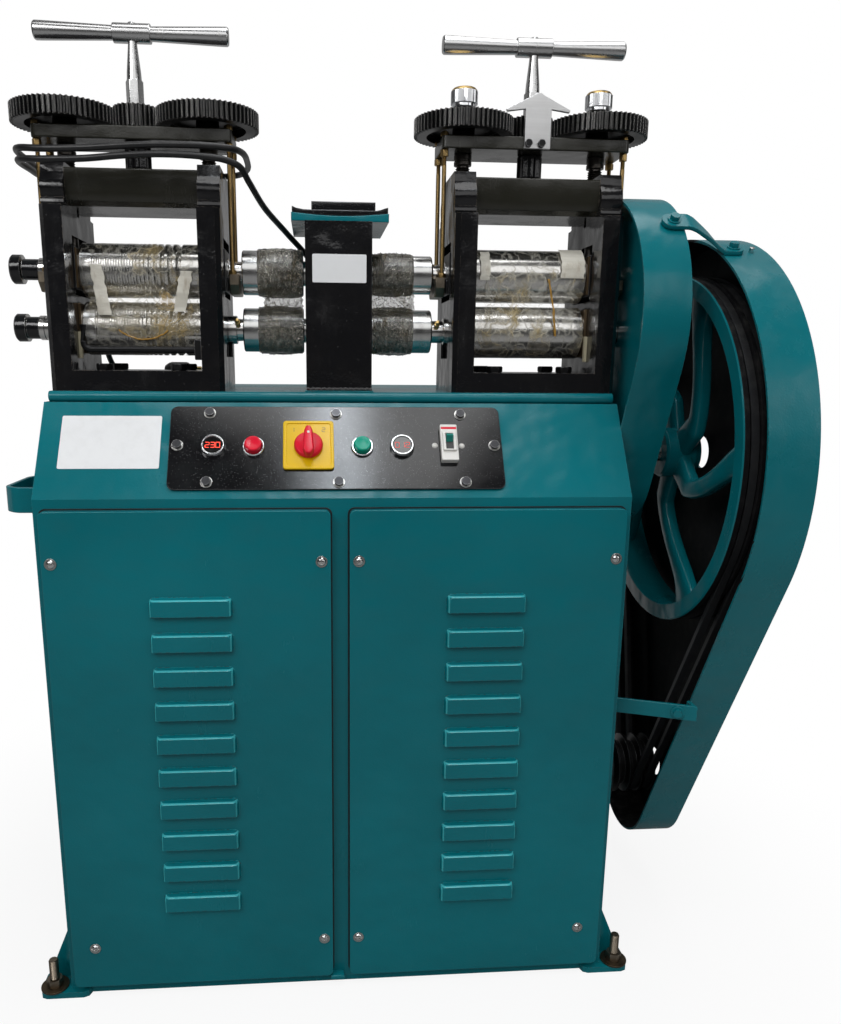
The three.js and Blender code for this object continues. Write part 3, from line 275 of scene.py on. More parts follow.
def plate(outline, low, high, holes=(), edge=0.8, facing="Z", finish=0):
    """A flat outline with holes, standing from low to high along its facing axis, with rounded edges."""
    if facing == "Y":
        low, high = -high, -low
    edge = min(edge, (high - low) * 0.49)
    curve = bpy.data.curves.new("outline", "CURVE")
    curve.dimensions = "2D"
    curve.fill_mode = "BOTH"
    curve.extrude = (high - low) / 2 - edge
    curve.bevel_depth = edge
    curve.bevel_resolution = 2
    curve.offset = -edge
    for line in (outline, *holes):
        spline = curve.splines.new("POLY")
        spline.points.add(len(line) - 1)
        spline.points.foreach_set("co", [v for p in line for v in (p[0], p[1], 0.0, 1.0)])
        spline.use_cyclic_u = True
    carrier = bpy.data.objects.new("outline", curve)
    bpy.context.scene.collection.objects.link(carrier)
    graph = bpy.context.evaluated_depsgraph_get()
    mesh = bpy.data.meshes.new_from_object(carrier.evaluated_get(graph))
    lift = Matrix.Translation((0, 0, (low + high) / 2))
    made = Shape([v.co.copy() for v in mesh.vertices], [tuple(p.vertices) for p in mesh.polygons], finish)
    bpy.data.objects.remove(carrier)
    bpy.data.curves.remove(curve)
    bpy.data.meshes.remove(mesh)
    return made.placed(TURNS[facing] @ lift)


def block(x0, x1, y0, y1, z0, z1, edge=0.8):
    return plate(corners(x0, y0, x1, y1), z0, z1, edge=edge)


def lathe(profile, centre=(0, 0, 0), axis="Z", steps=64, edge=0.5, finish=0):
    """A turned shape; the profile lists radius and place along the axis."""
    line = soften(profile, edge)
    points, rows = [], []
    for radius, place in line:
        if radius < 1e-5:
            rows.append([len(points)])
            points.append((0, 0, place))
            continue
        rows.append(list(range(len(points), len(points) + steps)))
        for k in range(steps):
            angle = 2 * math.pi * k / steps
            points.append((radius * math.cos(angle), radius * math.sin(angle), place))
    faces = []
    for low, high in zip(rows, rows[1:]):
        for k in range(steps):
            a, b = low[k % len(low)], low[(k + 1) % len(low)]
            c, d = high[(k + 1) % len(high)], high[k % len(high)]
            face = [v for i, v in enumerate((a, b, c, d)) if v not in (a, b, c, d)[:i]]
            if len(face) > 2:
                faces.append(face)
    return Shape(points, faces, finish).placed(Matrix.Translation(centre) @ TURNS[axis])


def rod(radius, low, high, centre=(0, 0, 0), axis="Z", steps=32, edge=0.5):
    return lathe([(0, low), (radius, low), (radius, high), (0, high)], centre, axis, steps, edge)


def washer(inner, outer, low, high):
    return lathe([(inner, low), (outer, low), (outer, high), (inner, high), (inner, low)])


def sweep(path, section):
    """A section (across, up) carried along a path; up stays as near to +Z as it can."""
    points = []
    count = len(section)
    for i, here in enumerate(path):
        before, after = path[max(0, i - 1)], path[min(len(path) - 1, i + 1)]
        ahead = (Vector(after) - Vector(before)).normalized()
        across = ahead.cross(Vector((0, 0, 1)))
        across = across.normalized() if across.length > 1e-4 else Vector((1, 0, 0))
        up = across.cross(ahead)
        points += [Vector(here) + across * u + up * v for u, v in section]
    return Shape(points, [*tube_faces(len(path), count), *end_faces(len(path), count)])


def hexagon(across_flats, low, high, centre=(0, 0, 0), turn=0.0):
    """A nut or a hexagon head with both faces chamfered."""
    flat = across_flats / 2
    chamfer = flat * 0.16
    steps = 48
    points = []
    for place, inner in ((low, True), (low + chamfer, False), (high - chamfer, False), (high, True)):
        for k in range(steps):
            angle = 2 * math.pi * k / steps
            reach = flat / math.cos((angle + math.pi / 6) % (math.pi / 3) - math.pi / 6)
            reach = min(reach, flat * (1.0 if inner else 1.155))
            points.append((reach * math.cos(angle + turn), reach * math.sin(angle + turn), place))
    made = Shape(points, [*tube_faces(4, steps), *end_faces(4, steps)])
    return made.placed(Matrix.Translation(centre))


def threads(radius, low, high, pitch, centre=(0, 0, 0)):
    """A screwed length with a chamfered end."""
    profile = [(0, low), (radius - pitch * 0.5, low)]
    place = low + pitch * 0.5
    while place < high - pitch:
        profile += [(radius, place), (radius - pitch * 0.55, place + pitch * 0.5)]
        place += pitch
    profile += [(radius - pitch * 0.6, high), (0, high)]
    return lathe(profile, centre, "Z", 28, 0.08)


def slotted_head(radius, rise, slot, depth):
    """A domed screw head with its slot along u; it stands on w = 0."""
    across = [-radius * math.cos(math.pi * i / 16) for i in range(17)]
    walls = (-slot / 2 - 0.01, -slot / 2, slot / 2, slot / 2 + 0.01)
    across = sorted({*(a for a in across if abs(a) > slot / 2 + 0.3), *walls})
    along = [-math.cos(math.pi * i / 16) for i in range(17)]
    points = []
    for u in across:
        reach = math.sqrt(max(radius**2 - u**2, 0.0001))
        for t in along:
            v = t * reach
            dome = rise * (1 - min(1.0, (u * u + v * v) / radius**2) ** 1.6)
            points.append((v, u, max(0.0, dome - (depth if abs(u) <= slot / 2 else 0.0))))
    size = len(along)
    corners_at = [i * size + j for i in range(len(across) - 1) for j in range(size - 1)]
    return Shape(points, [(a, a + size, a + size + 1, a + 1) for a in corners_at])


def bolt(across_flats, head):
    """A hexagon bolt head standing on z = 0."""
    return hexagon(across_flats, 0.0, head, turn=0.4)


# Pieces: each shape becomes a smooth mesh with its finishes, riding on a body


def make(name, shape, body, finishes, replaces=None):
    """Turns a shape into a piece that rides on a body, smooth except at its real corners."""
    finishes = [finishes] if isinstance(finishes, str) else finishes
    mesh = bpy.data.meshes.new(name)
    mesh.from_pydata([p * MM for p in shape.points], [], shape.faces)
    mesh.polygons.foreach_set("material_index", shape.finishes)
    work = bmesh.new()
    work.from_mesh(mesh)
    bmesh.ops.remove_doubles(work, verts=work.verts, dist=MERGE)
    bmesh.ops.dissolve_degenerate(work, edges=work.edges, dist=MERGE * 0.1)
    bmesh.ops.recalc_face_normals(work, faces=work.faces)
    work.to_mesh(mesh)
    work.free()
    for material in finishes:
        mesh.materials.append(bpy.data.materials[material])
    mesh.shade_smooth()
    mesh.set_sharp_from_angle(angle=math.radians(CREASE))
    piece = bpy.data.objects.new(name, mesh)
    bpy.context.scene.collection.objects.link(piece)
    weigh = piece.modifiers.new("even_faces", "WEIGHTED_NORMAL")
    weigh.keep_sharp = True
    settle(piece)
    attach(piece, body)
    if replaces:
        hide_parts(replaces)
    return piece


def settle(piece):
    """Writes a piece's modifiers into its mesh."""
    graph = bpy.context.evaluated_depsgraph_get()
    mesh = bpy.data.meshes.new_from_object(
        piece.evaluated_get(graph), preserve_all_data_layers=True, depsgraph=graph,
    )
    piece.modifiers.clear()
    piece.data = mesh


def solid_object(shape):
    """A plain working object for cutting, not part of the mill."""
    mesh = bpy.data.meshes.new("working")
    mesh.from_pydata([p * MM for p in shape.points], [], shape.faces)
    work = bmesh.new()
    work.from_mesh(mesh)
    bmesh.ops.remove_doubles(work, verts=work.verts, dist=1e-6)
    bmesh.ops.recalc_face_normals(work, faces=work.faces)
    work.to_mesh(mesh)
    work.free()
    carrier = bpy.data.objects.new("working", mesh)
    bpy.context.scene.collection.objects.link(carrier)
    return carrier


def carved(body, cuts, edge=1.0):
    """A body cut by some shapes, with its sharp edges rounded."""
    target = solid_object(body)
    tools = []
    for shape in cuts:
        tools.append(solid_object(shape))
        step = target.modifiers.new("cut", "BOOLEAN")
        step.operation = "DIFFERENCE"
        step.solver = "EXACT"
        step.object = tools[-1]
    if edge:
        bevel = target.modifiers.new("edge", "BEVEL")
        bevel.width = edge * MM
        bevel.segments = 3
        bevel.limit_method = "ANGLE"
        bevel.angle_limit = math.radians(32)
        bevel.use_clamp_overlap = True
        bevel.miter_outer = "MITER_ARC"
    settle(target)
    mesh = target.data
    made = Shape([v.co / MM for v in mesh.vertices], [tuple(p.vertices) for p in mesh.polygons])
    for carrier in (target, *tools):
        bpy.data.objects.remove(carrier)
    return made


def prism(outline, low, high, holes=(), facing="Z"):
    """A sharp-edged extrusion for cutting."""
    if facing == "Y":
        low, high = -high, -low
    lines = [outline, *holes]
    flat = [Vector((p[0], p[1], 0)) for line in lines for p in line]
    triangles = tessellate_polygon([[Vector((p[0], p[1], 0)) for p in line] for line in lines])
    count = len(flat)
    points = [(p.x, p.y, low) for p in flat] + [(p.x, p.y, high) for p in flat]
    faces = [tuple(t) for t in triangles] + [tuple(i + count for i in t) for t in triangles]
    start = 0
    for line in lines:
        for k in range(len(line)):
            a, b = start + k, start + (k + 1) % len(line)
            faces.append((a, b, b + count, a + count))
        start += len(line)
    return Shape(points, faces).placed(TURNS[facing])


# Materials and the surface effects that they share


def add_node(tree, kind, values=None, **settings):
    """A node with its settings and inputs; an input may be a number or another node's output."""
    node = tree.nodes.new(kind)
    for key, value in settings.items():
        setattr(node, key, value)
    for key, value in (values or {}).items():
        if isinstance(value, bpy.types.NodeSocket):
            tree.links.new(value, node.inputs[key])
        else:
            node.inputs[key].default_value = value
    return node


def calc(tree, operation, *values, clamp=False):
    node = add_node(tree, "ShaderNodeMath", dict(enumerate(values)), operation=operation)
    node.use_clamp = clamp
    return node.outputs[0]


def blend(tree, factor, first, second):
    node = add_node(tree, "ShaderNodeMix", {0: factor, 6: first, 7: second}, data_type="RGBA")
    return node.outputs[2]


def ramp(tree, value, low, high, start=0.0, end=1.0):
    values = {"Value": value, "From Min": low, "From Max": high, "To Min": start, "To Max": end}
    return add_node(tree, "ShaderNodeMapRange", values, interpolation_type="SMOOTHSTEP").outputs[0]


def cloud(tree, place, scale, detail=2.0, rough=0.5):
    values = {"Vector": place, "Scale": scale, "Detail": detail, "Roughness": rough}
    return add_node(tree, "ShaderNodeTexNoise", values).outputs["Fac"]


def start_group(name, inputs, outputs):
    """A node group with named number inputs and outputs, and its two end nodes."""
    tree = bpy.data.node_groups.new(name, "ShaderNodeTree")
    for label, default in inputs.items():
        socket = tree.interface.new_socket(name=label, in_out="INPUT", socket_type="NodeSocketFloat")
        socket.default_value = default
    for label in outputs:
        tree.interface.new_socket(name=label, in_out="OUTPUT", socket_type="NodeSocketFloat")
    given = tree.nodes.new("NodeGroupInput").outputs
    return tree, given, tree.nodes.new("NodeGroupOutput").inputs


def object_place(tree):
    return add_node(tree, "ShaderNodeTexCoord").outputs["Object"]


def make_edge_group():
    """Where a real corner gets a painted highlight, as if it caught the light, or has lost its finish."""
    tree, given, out = start_group(
        "edge_wear_and_highlight", {"Width": 0.0012, "Grain": 260.0, "Cover": 0.5}, ("Edge", "Chips"),
    )
    rounded_normal = add_node(tree, "ShaderNodeBevel", {"Radius": given["Width"]}, samples=4).outputs[0]
    normal = add_node(tree, "ShaderNodeNewGeometry").outputs["Normal"]
    facing = add_node(tree, "ShaderNodeVectorMath", {0: rounded_normal, 1: normal}, operation="DOT_PRODUCT")
    edge = ramp(tree, facing.outputs["Value"], 0.995, 0.86)
    patches = cloud(tree, object_place(tree), given["Grain"], 3.0, 0.65)
    limit = calc(tree, "SUBTRACT", 0.78, calc(tree, "MULTIPLY", given["Cover"], 0.4))
    chips = calc(
        tree, "GREATER_THAN", calc(tree, "MULTIPLY", edge, patches), calc(tree, "MULTIPLY", limit, 0.8),
    )
    tree.links.new(edge, out["Edge"])
    tree.links.new(chips, out["Chips"])


def make_flow_group():
    """Paint that has flowed out: long low waves, fine peel and a few specks of dust under it."""
    tree, given, out = start_group(
        "paint_flow", {"Peel": 420.0, "Wave": 14.0, "Sway": 6.0, "Specks": 0.3},
        ("Height", "Gloss", "Tone"),
    )
    place = object_place(tree)
    wave = cloud(tree, place, given["Wave"], 2.0)
    peel = cloud(tree, place, given["Peel"], 1.0)
    grit = add_node(tree, "ShaderNodeTexVoronoi", {"Vector": place, "Scale": 140.0}).outputs["Distance"]
    specks = calc(tree, "MULTIPLY", ramp(tree, grit, 0.1, 0.02), given["Specks"])
    height = calc(
        tree, "ADD", calc(tree, "MULTIPLY", wave, given["Sway"]), calc(tree, "MULTIPLY", peel, 0.16),
    )
    tree.links.new(calc(tree, "ADD", height, calc(tree, "MULTIPLY", specks, 0.5)), out["Height"])
    tree.links.new(ramp(tree, cloud(tree, place, 9.0, 4.0, 0.6), 0.35, 0.7), out["Gloss"])
    tree.links.new(cloud(tree, place, 3.5, 2.0), out["Tone"])


def make_dust_group():
    """Dust and hand marks: more on faces that look up, in patches."""
    tree, given, out = start_group("dust_and_smears", {"Scale": 22.0, "Amount": 0.4}, ("Dust", "Smear"))
    place = object_place(tree)
    normal = add_node(tree, "ShaderNodeNewGeometry").outputs["Normal"]
    up = add_node(tree, "ShaderNodeSeparateXYZ", {0: normal}).outputs["Z"]
    patches = ramp(tree, cloud(tree, place, given["Scale"], 5.0, 0.65), 0.42, 0.72)
    settled = calc(tree, "MULTIPLY", ramp(tree, up, -0.2, 0.9, 0.25, 1.0), patches)
    stretched = add_node(tree, "ShaderNodeMapping", {"Vector": place, "Scale": (1.0, 1.0, 0.25)}).outputs[0]
    smear = ramp(tree, cloud(tree, stretched, given["Scale"], 6.0, 0.7), 0.52, 0.75)
    tree.links.new(calc(tree, "MULTIPLY", settled, given["Amount"]), out["Dust"])
    tree.links.new(calc(tree, "MULTIPLY", smear, given["Amount"]), out["Smear"])


def make_turning_group():
    """Fine tool marks round an axis or along a face; each axis is stretched by its own number."""
    inputs = {"Along X": 1.0, "Along Y": 1.0, "Along Z": 1.0, "Scale": 600.0}
    tree, given, out = start_group("tool_marks", inputs, ("Height", "Streak"))
    stretch = add_node(
        tree, "ShaderNodeCombineXYZ",
        {"X": given["Along X"], "Y": given["Along Y"], "Z": given["Along Z"]},
    )
    place = add_node(
        tree, "ShaderNodeVectorMath", {0: object_place(tree), 1: stretch.outputs[0]},
        operation="MULTIPLY",
    )
    fine = cloud(tree, place.outputs[0], given["Scale"], 3.0, 0.6)
    broad = cloud(tree, place.outputs[0], calc(tree, "MULTIPLY", given["Scale"], 0.12), 3.0, 0.6)
    tree.links.new(calc(tree, "ADD", fine, calc(tree, "MULTIPLY", broad, 0.6)), out["Height"])
    tree.links.new(ramp(tree, broad, 0.3, 0.7), out["Streak"])


def placed_group(tree, name, **values):
    node = tree.nodes.new("ShaderNodeGroup")
    node.node_tree = bpy.data.node_groups[name]
    for label, value in values.items():
        node.inputs[label.replace("_", " ")].default_value = value
    return node.outputs


def bump(tree, height, distance):
    values = {"Height": height, "Distance": distance, "Strength": 1.0}
    return add_node(tree, "ShaderNodeBump", values).outputs[0]


def start_material(name, **constants):
    """A Principled material; constants go on the shader's own sockets."""
    material = bpy.data.materials.new(name)
    material.use_nodes = True
    tree = material.node_tree
    shader = tree.nodes["Principled BSDF"]
    for label, value in constants.items():
        shader.inputs[label.replace("_", " ")].default_value = value
    return material, tree, shader


def feed(tree, shader, **sockets):
    for label, socket in sockets.items():
        tree.links.new(socket, shader.inputs[label.replace("_", " ")])


def rgb(colour, scale=1.0):
    return (colour[0] * scale, colour[1] * scale, colour[2] * scale, 1.0)


def make_enamel(
    name, colour, gloss, chip_colour, peel=420.0, dust=0.12, waves=0.0007, soil=(0.2, 0.26, 0.26),
    flecks=0.0, painted_highlight_tone=None, sheen=0.5, sway=6.0,
):
    """Sprayed enamel with flow, edge chips, dust and smears, and corners painted lighter as a highlight."""
    _, tree, shader = start_material(name, Specular_IOR_Level=sheen)
    flow = placed_group(tree, "paint_flow", Peel=peel, Sway=sway)
    edge_masks = placed_group(tree, "edge_wear_and_highlight", Cover=0.32)
    marks = placed_group(tree, "dust_and_smears", Amount=dust)
    body = blend(tree, ramp(tree, flow["Tone"], 0.3, 0.7), rgb(colour, 0.9), rgb(colour, 1.1))
    dusty = blend(tree, calc(tree, "MULTIPLY", marks["Dust"], 0.22), body, rgb(soil))
    # Corners painted a lighter tone: a painted highlight where lamps would catch them.
    if painted_highlight_tone:
        dusty = blend(tree, calc(tree, "MULTIPLY", edge_masks["Edge"], 0.55), dusty, rgb(painted_highlight_tone))
    if flecks:
        grit = add_node(
            tree, "ShaderNodeTexVoronoi", {"Vector": object_place(tree), "Scale": 480.0},
        ).outputs["Distance"]
        dusty = blend(tree, ramp(tree, grit, 0.12, 0.06, 0.0, flecks), dusty, (0.5, 0.5, 0.5, 1.0))
    feed(
        tree, shader, Base_Color=blend(tree, edge_masks["Chips"], dusty, rgb(chip_colour)),
        Roughness=calc(
            tree, "ADD", ramp(tree, flow["Gloss"], 0.0, 1.0, gloss, gloss + 0.07),
            calc(tree, "MULTIPLY", marks["Smear"], 0.35),
        ),
        Normal=bump(tree, flow["Height"], waves),
    )


def make_steel(name, colour, rough, along, stain=0.15, marks=0.00002, streak=0.12):
    """Turned or ground steel with tool marks, faint stains and bright corners."""
    _, tree, shader = start_material(name, Metallic=1.0)
    cuts = placed_group(tree, "tool_marks", Along_X=along[0], Along_Y=along[1], Along_Z=along[2])
    edge_masks = placed_group(tree, "edge_wear_and_highlight", Width=0.0008)
    dirt = placed_group(tree, "dust_and_smears", Scale=40.0, Amount=stain)
    body = blend(tree, cuts["Streak"], rgb(colour, 1.0 - streak), rgb(colour, 1.0 + streak * 0.7))
    soiled = blend(tree, dirt["Smear"], body, (0.16, 0.13, 0.09, 1.0))
    feed(
        tree, shader,
        Base_Color=blend(tree, calc(tree, "MULTIPLY", edge_masks["Edge"], 0.5), soiled, rgb(colour, 1.25)),
        Roughness=calc(
            tree, "ADD", ramp(tree, cuts["Streak"], 0.0, 1.0, rough, rough + streak),
            calc(tree, "MULTIPLY", dirt["Smear"], 0.6),
        ),
        Normal=bump(tree, cuts["Height"], marks),
    )


def make_blackened(name, colour, rough, edge_colour, metal=0.75):
    """Black-oxide steel whose corners and teeth have rubbed bright."""
    _, tree, shader = start_material(name)
    edge_masks = placed_group(tree, "edge_wear_and_highlight", Width=0.0011, Grain=500.0)
    dirt = placed_group(tree, "dust_and_smears", Scale=60.0, Amount=0.5)
    flow = placed_group(tree, "paint_flow", Peel=900.0)
    body = blend(tree, dirt["Smear"], rgb(colour), rgb(colour, 2.2))
    feed(
        tree, shader,
        Base_Color=blend(tree, calc(tree, "MULTIPLY", edge_masks["Edge"], 0.7), body, rgb(edge_colour)),
        Metallic=ramp(tree, edge_masks["Edge"], 0.0, 1.0, metal, 1.0),
        Roughness=ramp(tree, flow["Gloss"], 0.0, 1.0, rough, rough + 0.15),
        Normal=bump(tree, flow["Height"], 0.0001),
    )


def make_plastic(name, colour, rough, coat=0.0, rubbed=1.15, distance=0.00008, sheen=0.5, dust=0.25):
    """Moulded plastic or rubber with a fine grain, rubbed corners and a little dust."""
    _, tree, shader = start_material(name, Coat_Weight=coat, Specular_IOR_Level=sheen)
    flow = placed_group(tree, "paint_flow", Peel=900.0, Sway=0.2, Specks=0.1)
    edge_masks = placed_group(tree, "edge_wear_and_highlight", Width=0.0007)
    marks = placed_group(tree, "dust_and_smears", Scale=70.0, Amount=0.35)
    body = blend(
        tree, calc(tree, "MULTIPLY", edge_masks["Edge"], 0.5), rgb(colour),
        rgb([min(1.0, c * rubbed + 0.004) for c in colour]),
    )
    feed(
        tree, shader,
        Base_Color=blend(tree, calc(tree, "MULTIPLY", marks["Dust"], dust), body, (0.3, 0.29, 0.27, 1.0)),
        Roughness=ramp(tree, flow["Gloss"], 0.0, 1.0, rough, rough + 0.1),
        Normal=bump(tree, flow["Height"], distance),
    )


def make_film(name, scale, cover, clear, oily, metal, depth):
    """Stretch film, wrinkled, with yellowed oil drawn out in streaks round the bar it wraps."""
    _, tree, shader = start_material(name, Specular_IOR_Level=0.8, Metallic=metal)
    place = object_place(tree)
    warp = add_node(
        tree, "ShaderNodeTexNoise", {"Vector": place, "Scale": 38.0, "Detail": 2.0},
    ).outputs["Color"]
    bent = add_node(
        tree, "ShaderNodeVectorMath", {0: warp, 1: (0.06, 0.06, 0.06)}, operation="MULTIPLY",
    ).outputs[0]
    moved = add_node(tree, "ShaderNodeVectorMath", {0: place, 1: bent}, operation="ADD").outputs[0]
    folds = add_node(
        tree, "ShaderNodeTexVoronoi", {"Vector": moved, "Scale": scale}, feature="DISTANCE_TO_EDGE",
    ).outputs[0]
    crest = ramp(tree, folds, 0.12, 0.0)
    drawn = add_node(tree, "ShaderNodeMapping", {"Vector": moved, "Scale": (1.0, 0.3, 0.3)}).outputs[0]
    oil = ramp(tree, cloud(tree, drawn, 34.0, 5.0, 0.65), 0.5, 0.72)
    height = calc(tree, "ADD", crest, calc(tree, "MULTIPLY", cloud(tree, moved, scale * 2.6, 4.0, 0.65), 1.2))
    veil = calc(tree, "ADD", calc(tree, "MULTIPLY", crest, 0.3), calc(tree, "MULTIPLY", oil, 0.38))
    feed(
        tree, shader,
        Base_Color=blend(tree, oil, rgb(clear), rgb(oily)),
        Alpha=calc(tree, "ADD", veil, cover, clamp=True),
        Roughness=ramp(tree, oil, 0.0, 1.0, 0.12, 0.3),
        Normal=bump(tree, height, depth),
    )


def make_tape():
    """Creamy masking tape, crinkled across."""
    _, tree, shader = start_material("masking_tape", Roughness=0.62)
    marks = placed_group(tree, "tool_marks", Along_X=0.25, Along_Y=1.0, Along_Z=1.0, Scale=420.0)
    dirt = placed_group(tree, "dust_and_smears", Scale=60.0, Amount=0.8)
    body = blend(tree, marks["Streak"], (0.6, 0.57, 0.49, 1.0), (0.82, 0.79, 0.7, 1.0))
    feed(
        tree, shader,
        Base_Color=blend(tree, dirt["Smear"], body, (0.3, 0.22, 0.12, 1.0)),
        Normal=bump(tree, marks["Height"], 0.0004),
    )


def make_glow(name, colour, strength):
    _, tree, shader = start_material(name, Roughness=0.4, Emission_Strength=strength)
    shade = ramp(tree, cloud(tree, object_place(tree), 300.0), 0.3, 0.7, 0.0, 0.25)
    warm = blend(tree, shade, rgb(colour), rgb(colour, 0.6))
    feed(tree, shader, Base_Color=warm, Emission_Color=warm)


def make_finishes(colours):
    """Every finish of the mill, from the colours of the panel."""
    make_edge_group()
    make_flow_group()
    make_dust_group()
    make_turning_group()
    teal, black = tuple(colours.teal), tuple(colours.black)
    # A lighter teal painted on enamel corners as a highlight.
    highlight_teal = (0.03, 0.3, 0.34)
    primer = (0.05, 0.05, 0.045)
    make_enamel("teal_enamel", teal, 0.2, primer, painted_highlight_tone=highlight_teal, sheen=0.32)
    # A lighter teal for the louvres' bevel bands, a painted highlight.
    make_enamel("painted_highlight_enamel", (0.05, 0.4, 0.44), 0.12, primer)
    make_enamel("guard_enamel", teal, 0.24, primer, dust=0.4, painted_highlight_tone=highlight_teal, sheen=0.4)
    make_enamel(
        "black_enamel", black, 0.05, (0.3, 0.3, 0.29), peel=1100.0, dust=0.15, waves=0.00028,
        flecks=0.7, painted_highlight_tone=(0.12, 0.12, 0.13), sway=0.15,
    )
    make_enamel("motor_paint", (0.03, 0.045, 0.05), 0.35, (0.1, 0.1, 0.1), dust=0.8)
    make_steel(
        "ground_steel", (0.68, 0.67, 0.65), 0.16, (1.0, 0.01, 0.01), stain=0.08, marks=0.00001,
        streak=0.03,
    )
    make_steel(
        "turned_steel", (0.58, 0.58, 0.57), 0.18, (1.0, 0.02, 0.02), stain=0.3, marks=0.00004,
        streak=0.06,
    )
    make_steel("screw_steel", (0.5, 0.49, 0.47), 0.22, (0.02, 0.02, 1.0), stain=0.5, marks=0.00005)
    make_steel("brushed_steel", (0.68, 0.68, 0.68), 0.3, (0.04, 1.0, 1.0), stain=0.1, marks=0.00006)
    make_steel("bright_screw", (0.7, 0.7, 0.69), 0.18, (1.0, 1.0, 1.0), stain=0.08, streak=0.05)
    make_steel("bronze", (0.2, 0.14, 0.08), 0.34, (1.0, 1.0, 0.1), stain=0.6, marks=0.00005)
    make_steel("turned_brass", (0.72, 0.5, 0.2), 0.24, (1.0, 1.0, 0.2), stain=0.25)
    make_steel("old_brass", (0.4, 0.27, 0.11), 0.28, (1.0, 1.0, 0.2), stain=0.6)
    make_steel("aged_steel", (0.26, 0.22, 0.17), 0.3, (1.0, 0.2, 1.0), stain=0.7)
    make_steel("dark_screw", (0.07, 0.065, 0.06), 0.3, (0.1, 0.1, 1.0), stain=0.5, marks=0.00005)
    make_steel("brown_washer", (0.12, 0.09, 0.06), 0.42, (1.0, 1.0, 1.0), stain=0.5)
    make_blackened("black_oxide", (0.018, 0.018, 0.019), 0.3, (0.45, 0.45, 0.46))
    make_enamel(
        "head_enamel", black, 0.12, (0.12, 0.1, 0.08), peel=260.0, dust=0.6, waves=0.0011,
        soil=(0.06, 0.052, 0.04),
    )
    # Brown-black: soil on the lift plates, and on the beams a lighter copy of the head enamel as a painted
    # reflection.
    make_enamel(
        "brown_enamel", (0.017, 0.0165, 0.0115), 0.2, (0.12, 0.1, 0.08), dust=0.4,
        soil=(0.06, 0.05, 0.03),
    )
    make_enamel("black_gloss", black, 0.09, (0.3, 0.3, 0.3), dust=0.2, painted_highlight_tone=(0.2, 0.2, 0.2))
    make_blackened("gear_black", (0.014, 0.014, 0.015), 0.32, (0.5, 0.49, 0.47))
    make_steel("handle_steel", (0.62, 0.62, 0.62), 0.2, (0.02, 1.0, 1.0), stain=0.22, marks=0.00004)
    make_blackened("dark_bolt", (0.05, 0.05, 0.053), 0.26, (0.4, 0.4, 0.4), metal=0.9)
    make_plastic("belt_rubber", (0.013, 0.014, 0.016), 0.55, distance=0.0002)
    make_plastic("cord_rubber", (0.008, 0.008, 0.009), 0.36)
    make_plastic("dark_moulding", (0.012, 0.012, 0.013), 0.3)
    make_plastic("yellow_moulding", tuple(colours.yellow), 0.12, rubbed=1.2, sheen=0.16, dust=0.05)
    make_plastic("red_moulding", tuple(colours.red), 0.12, rubbed=1.3, sheen=0.16, dust=0.05)
    make_plastic("green_moulding", (0.0, 0.3, 0.2), 0.12, rubbed=1.4, sheen=0.2, dust=0.05)
    make_plastic("lever_green", (0.0, 0.22, 0.18), 0.3, rubbed=1.4)
    make_plastic("white_moulding", (0.72, 0.71, 0.68), 0.35, rubbed=1.1)
    make_plastic("blank_label", (0.78, 0.79, 0.8), 0.3, rubbed=1.05, distance=0.00003)
    make_plastic("meter_glass", (0.004, 0.004, 0.004), 0.06, coat=1.0, distance=0.00001)
    make_steel("chrome", (0.75, 0.76, 0.78), 0.08, (1.0, 1.0, 1.0), stain=0.1, marks=0.000005)
    make_glow("red_digits", (1.0, 0.06, 0.03), 1.6)
    make_glow("dim_digits", (0.7, 0.05, 0.03), 0.35)
    # Near-black: belt dust on the pulley's rim and grooves, painted shade on the guard's inner faces.
    make_plastic("belt_dust_and_painted_shade", (0.006, 0.006, 0.007), 0.6, sheen=0.15)
    make_film("clear_film", 48.0, 0.02, (0.7, 0.68, 0.6), (0.5, 0.38, 0.16), 0.0, 0.00022)
    make_film("crinkled_film", 150.0, 0.6, (0.5, 0.48, 0.42), (0.34, 0.25, 0.1), 0.9, 0.0042)
    make_tape()
    make_plastic("grease", (0.4, 0.22, 0.04), 0.2)
    make_plastic("cream", (0.42, 0.38, 0.26), 0.5)
    make_film("oily_film", 55.0, 0.13, (0.42, 0.36, 0.22), (0.44, 0.3, 0.1), 0.0, 0.0005)


def dress(node, finish):
    """Gives a node of the frame its finish."""
    carrier = bpy.data.objects[node]
    for slot in carrier.material_slots:
        slot.material = bpy.data.materials[finish]


# Cabinet

SLOPE = Matrix.Translation((0, FRONT_Y, SLOPE_Z)) @ Matrix.Rotation(SLOPE_TURN, 4, "X")
DOOR_SCREWS = {
    -1: [(-331, 576), (-22, 576), (-313, 73), (-22, 73)], 1: [(22, 576), (331, 576), (22, 73), (313, 73)],
}
LOUVRE_COUNT = 10
LOUVRE_TOP = 535.0
LOUVRE_PITCH = 43.0
LOUVRE_HALF = 48.5
LOUVRE_HIGH = 22.0
LOUVRE_BEVEL = 3.3
LOUVRE_CORNER = 7.5


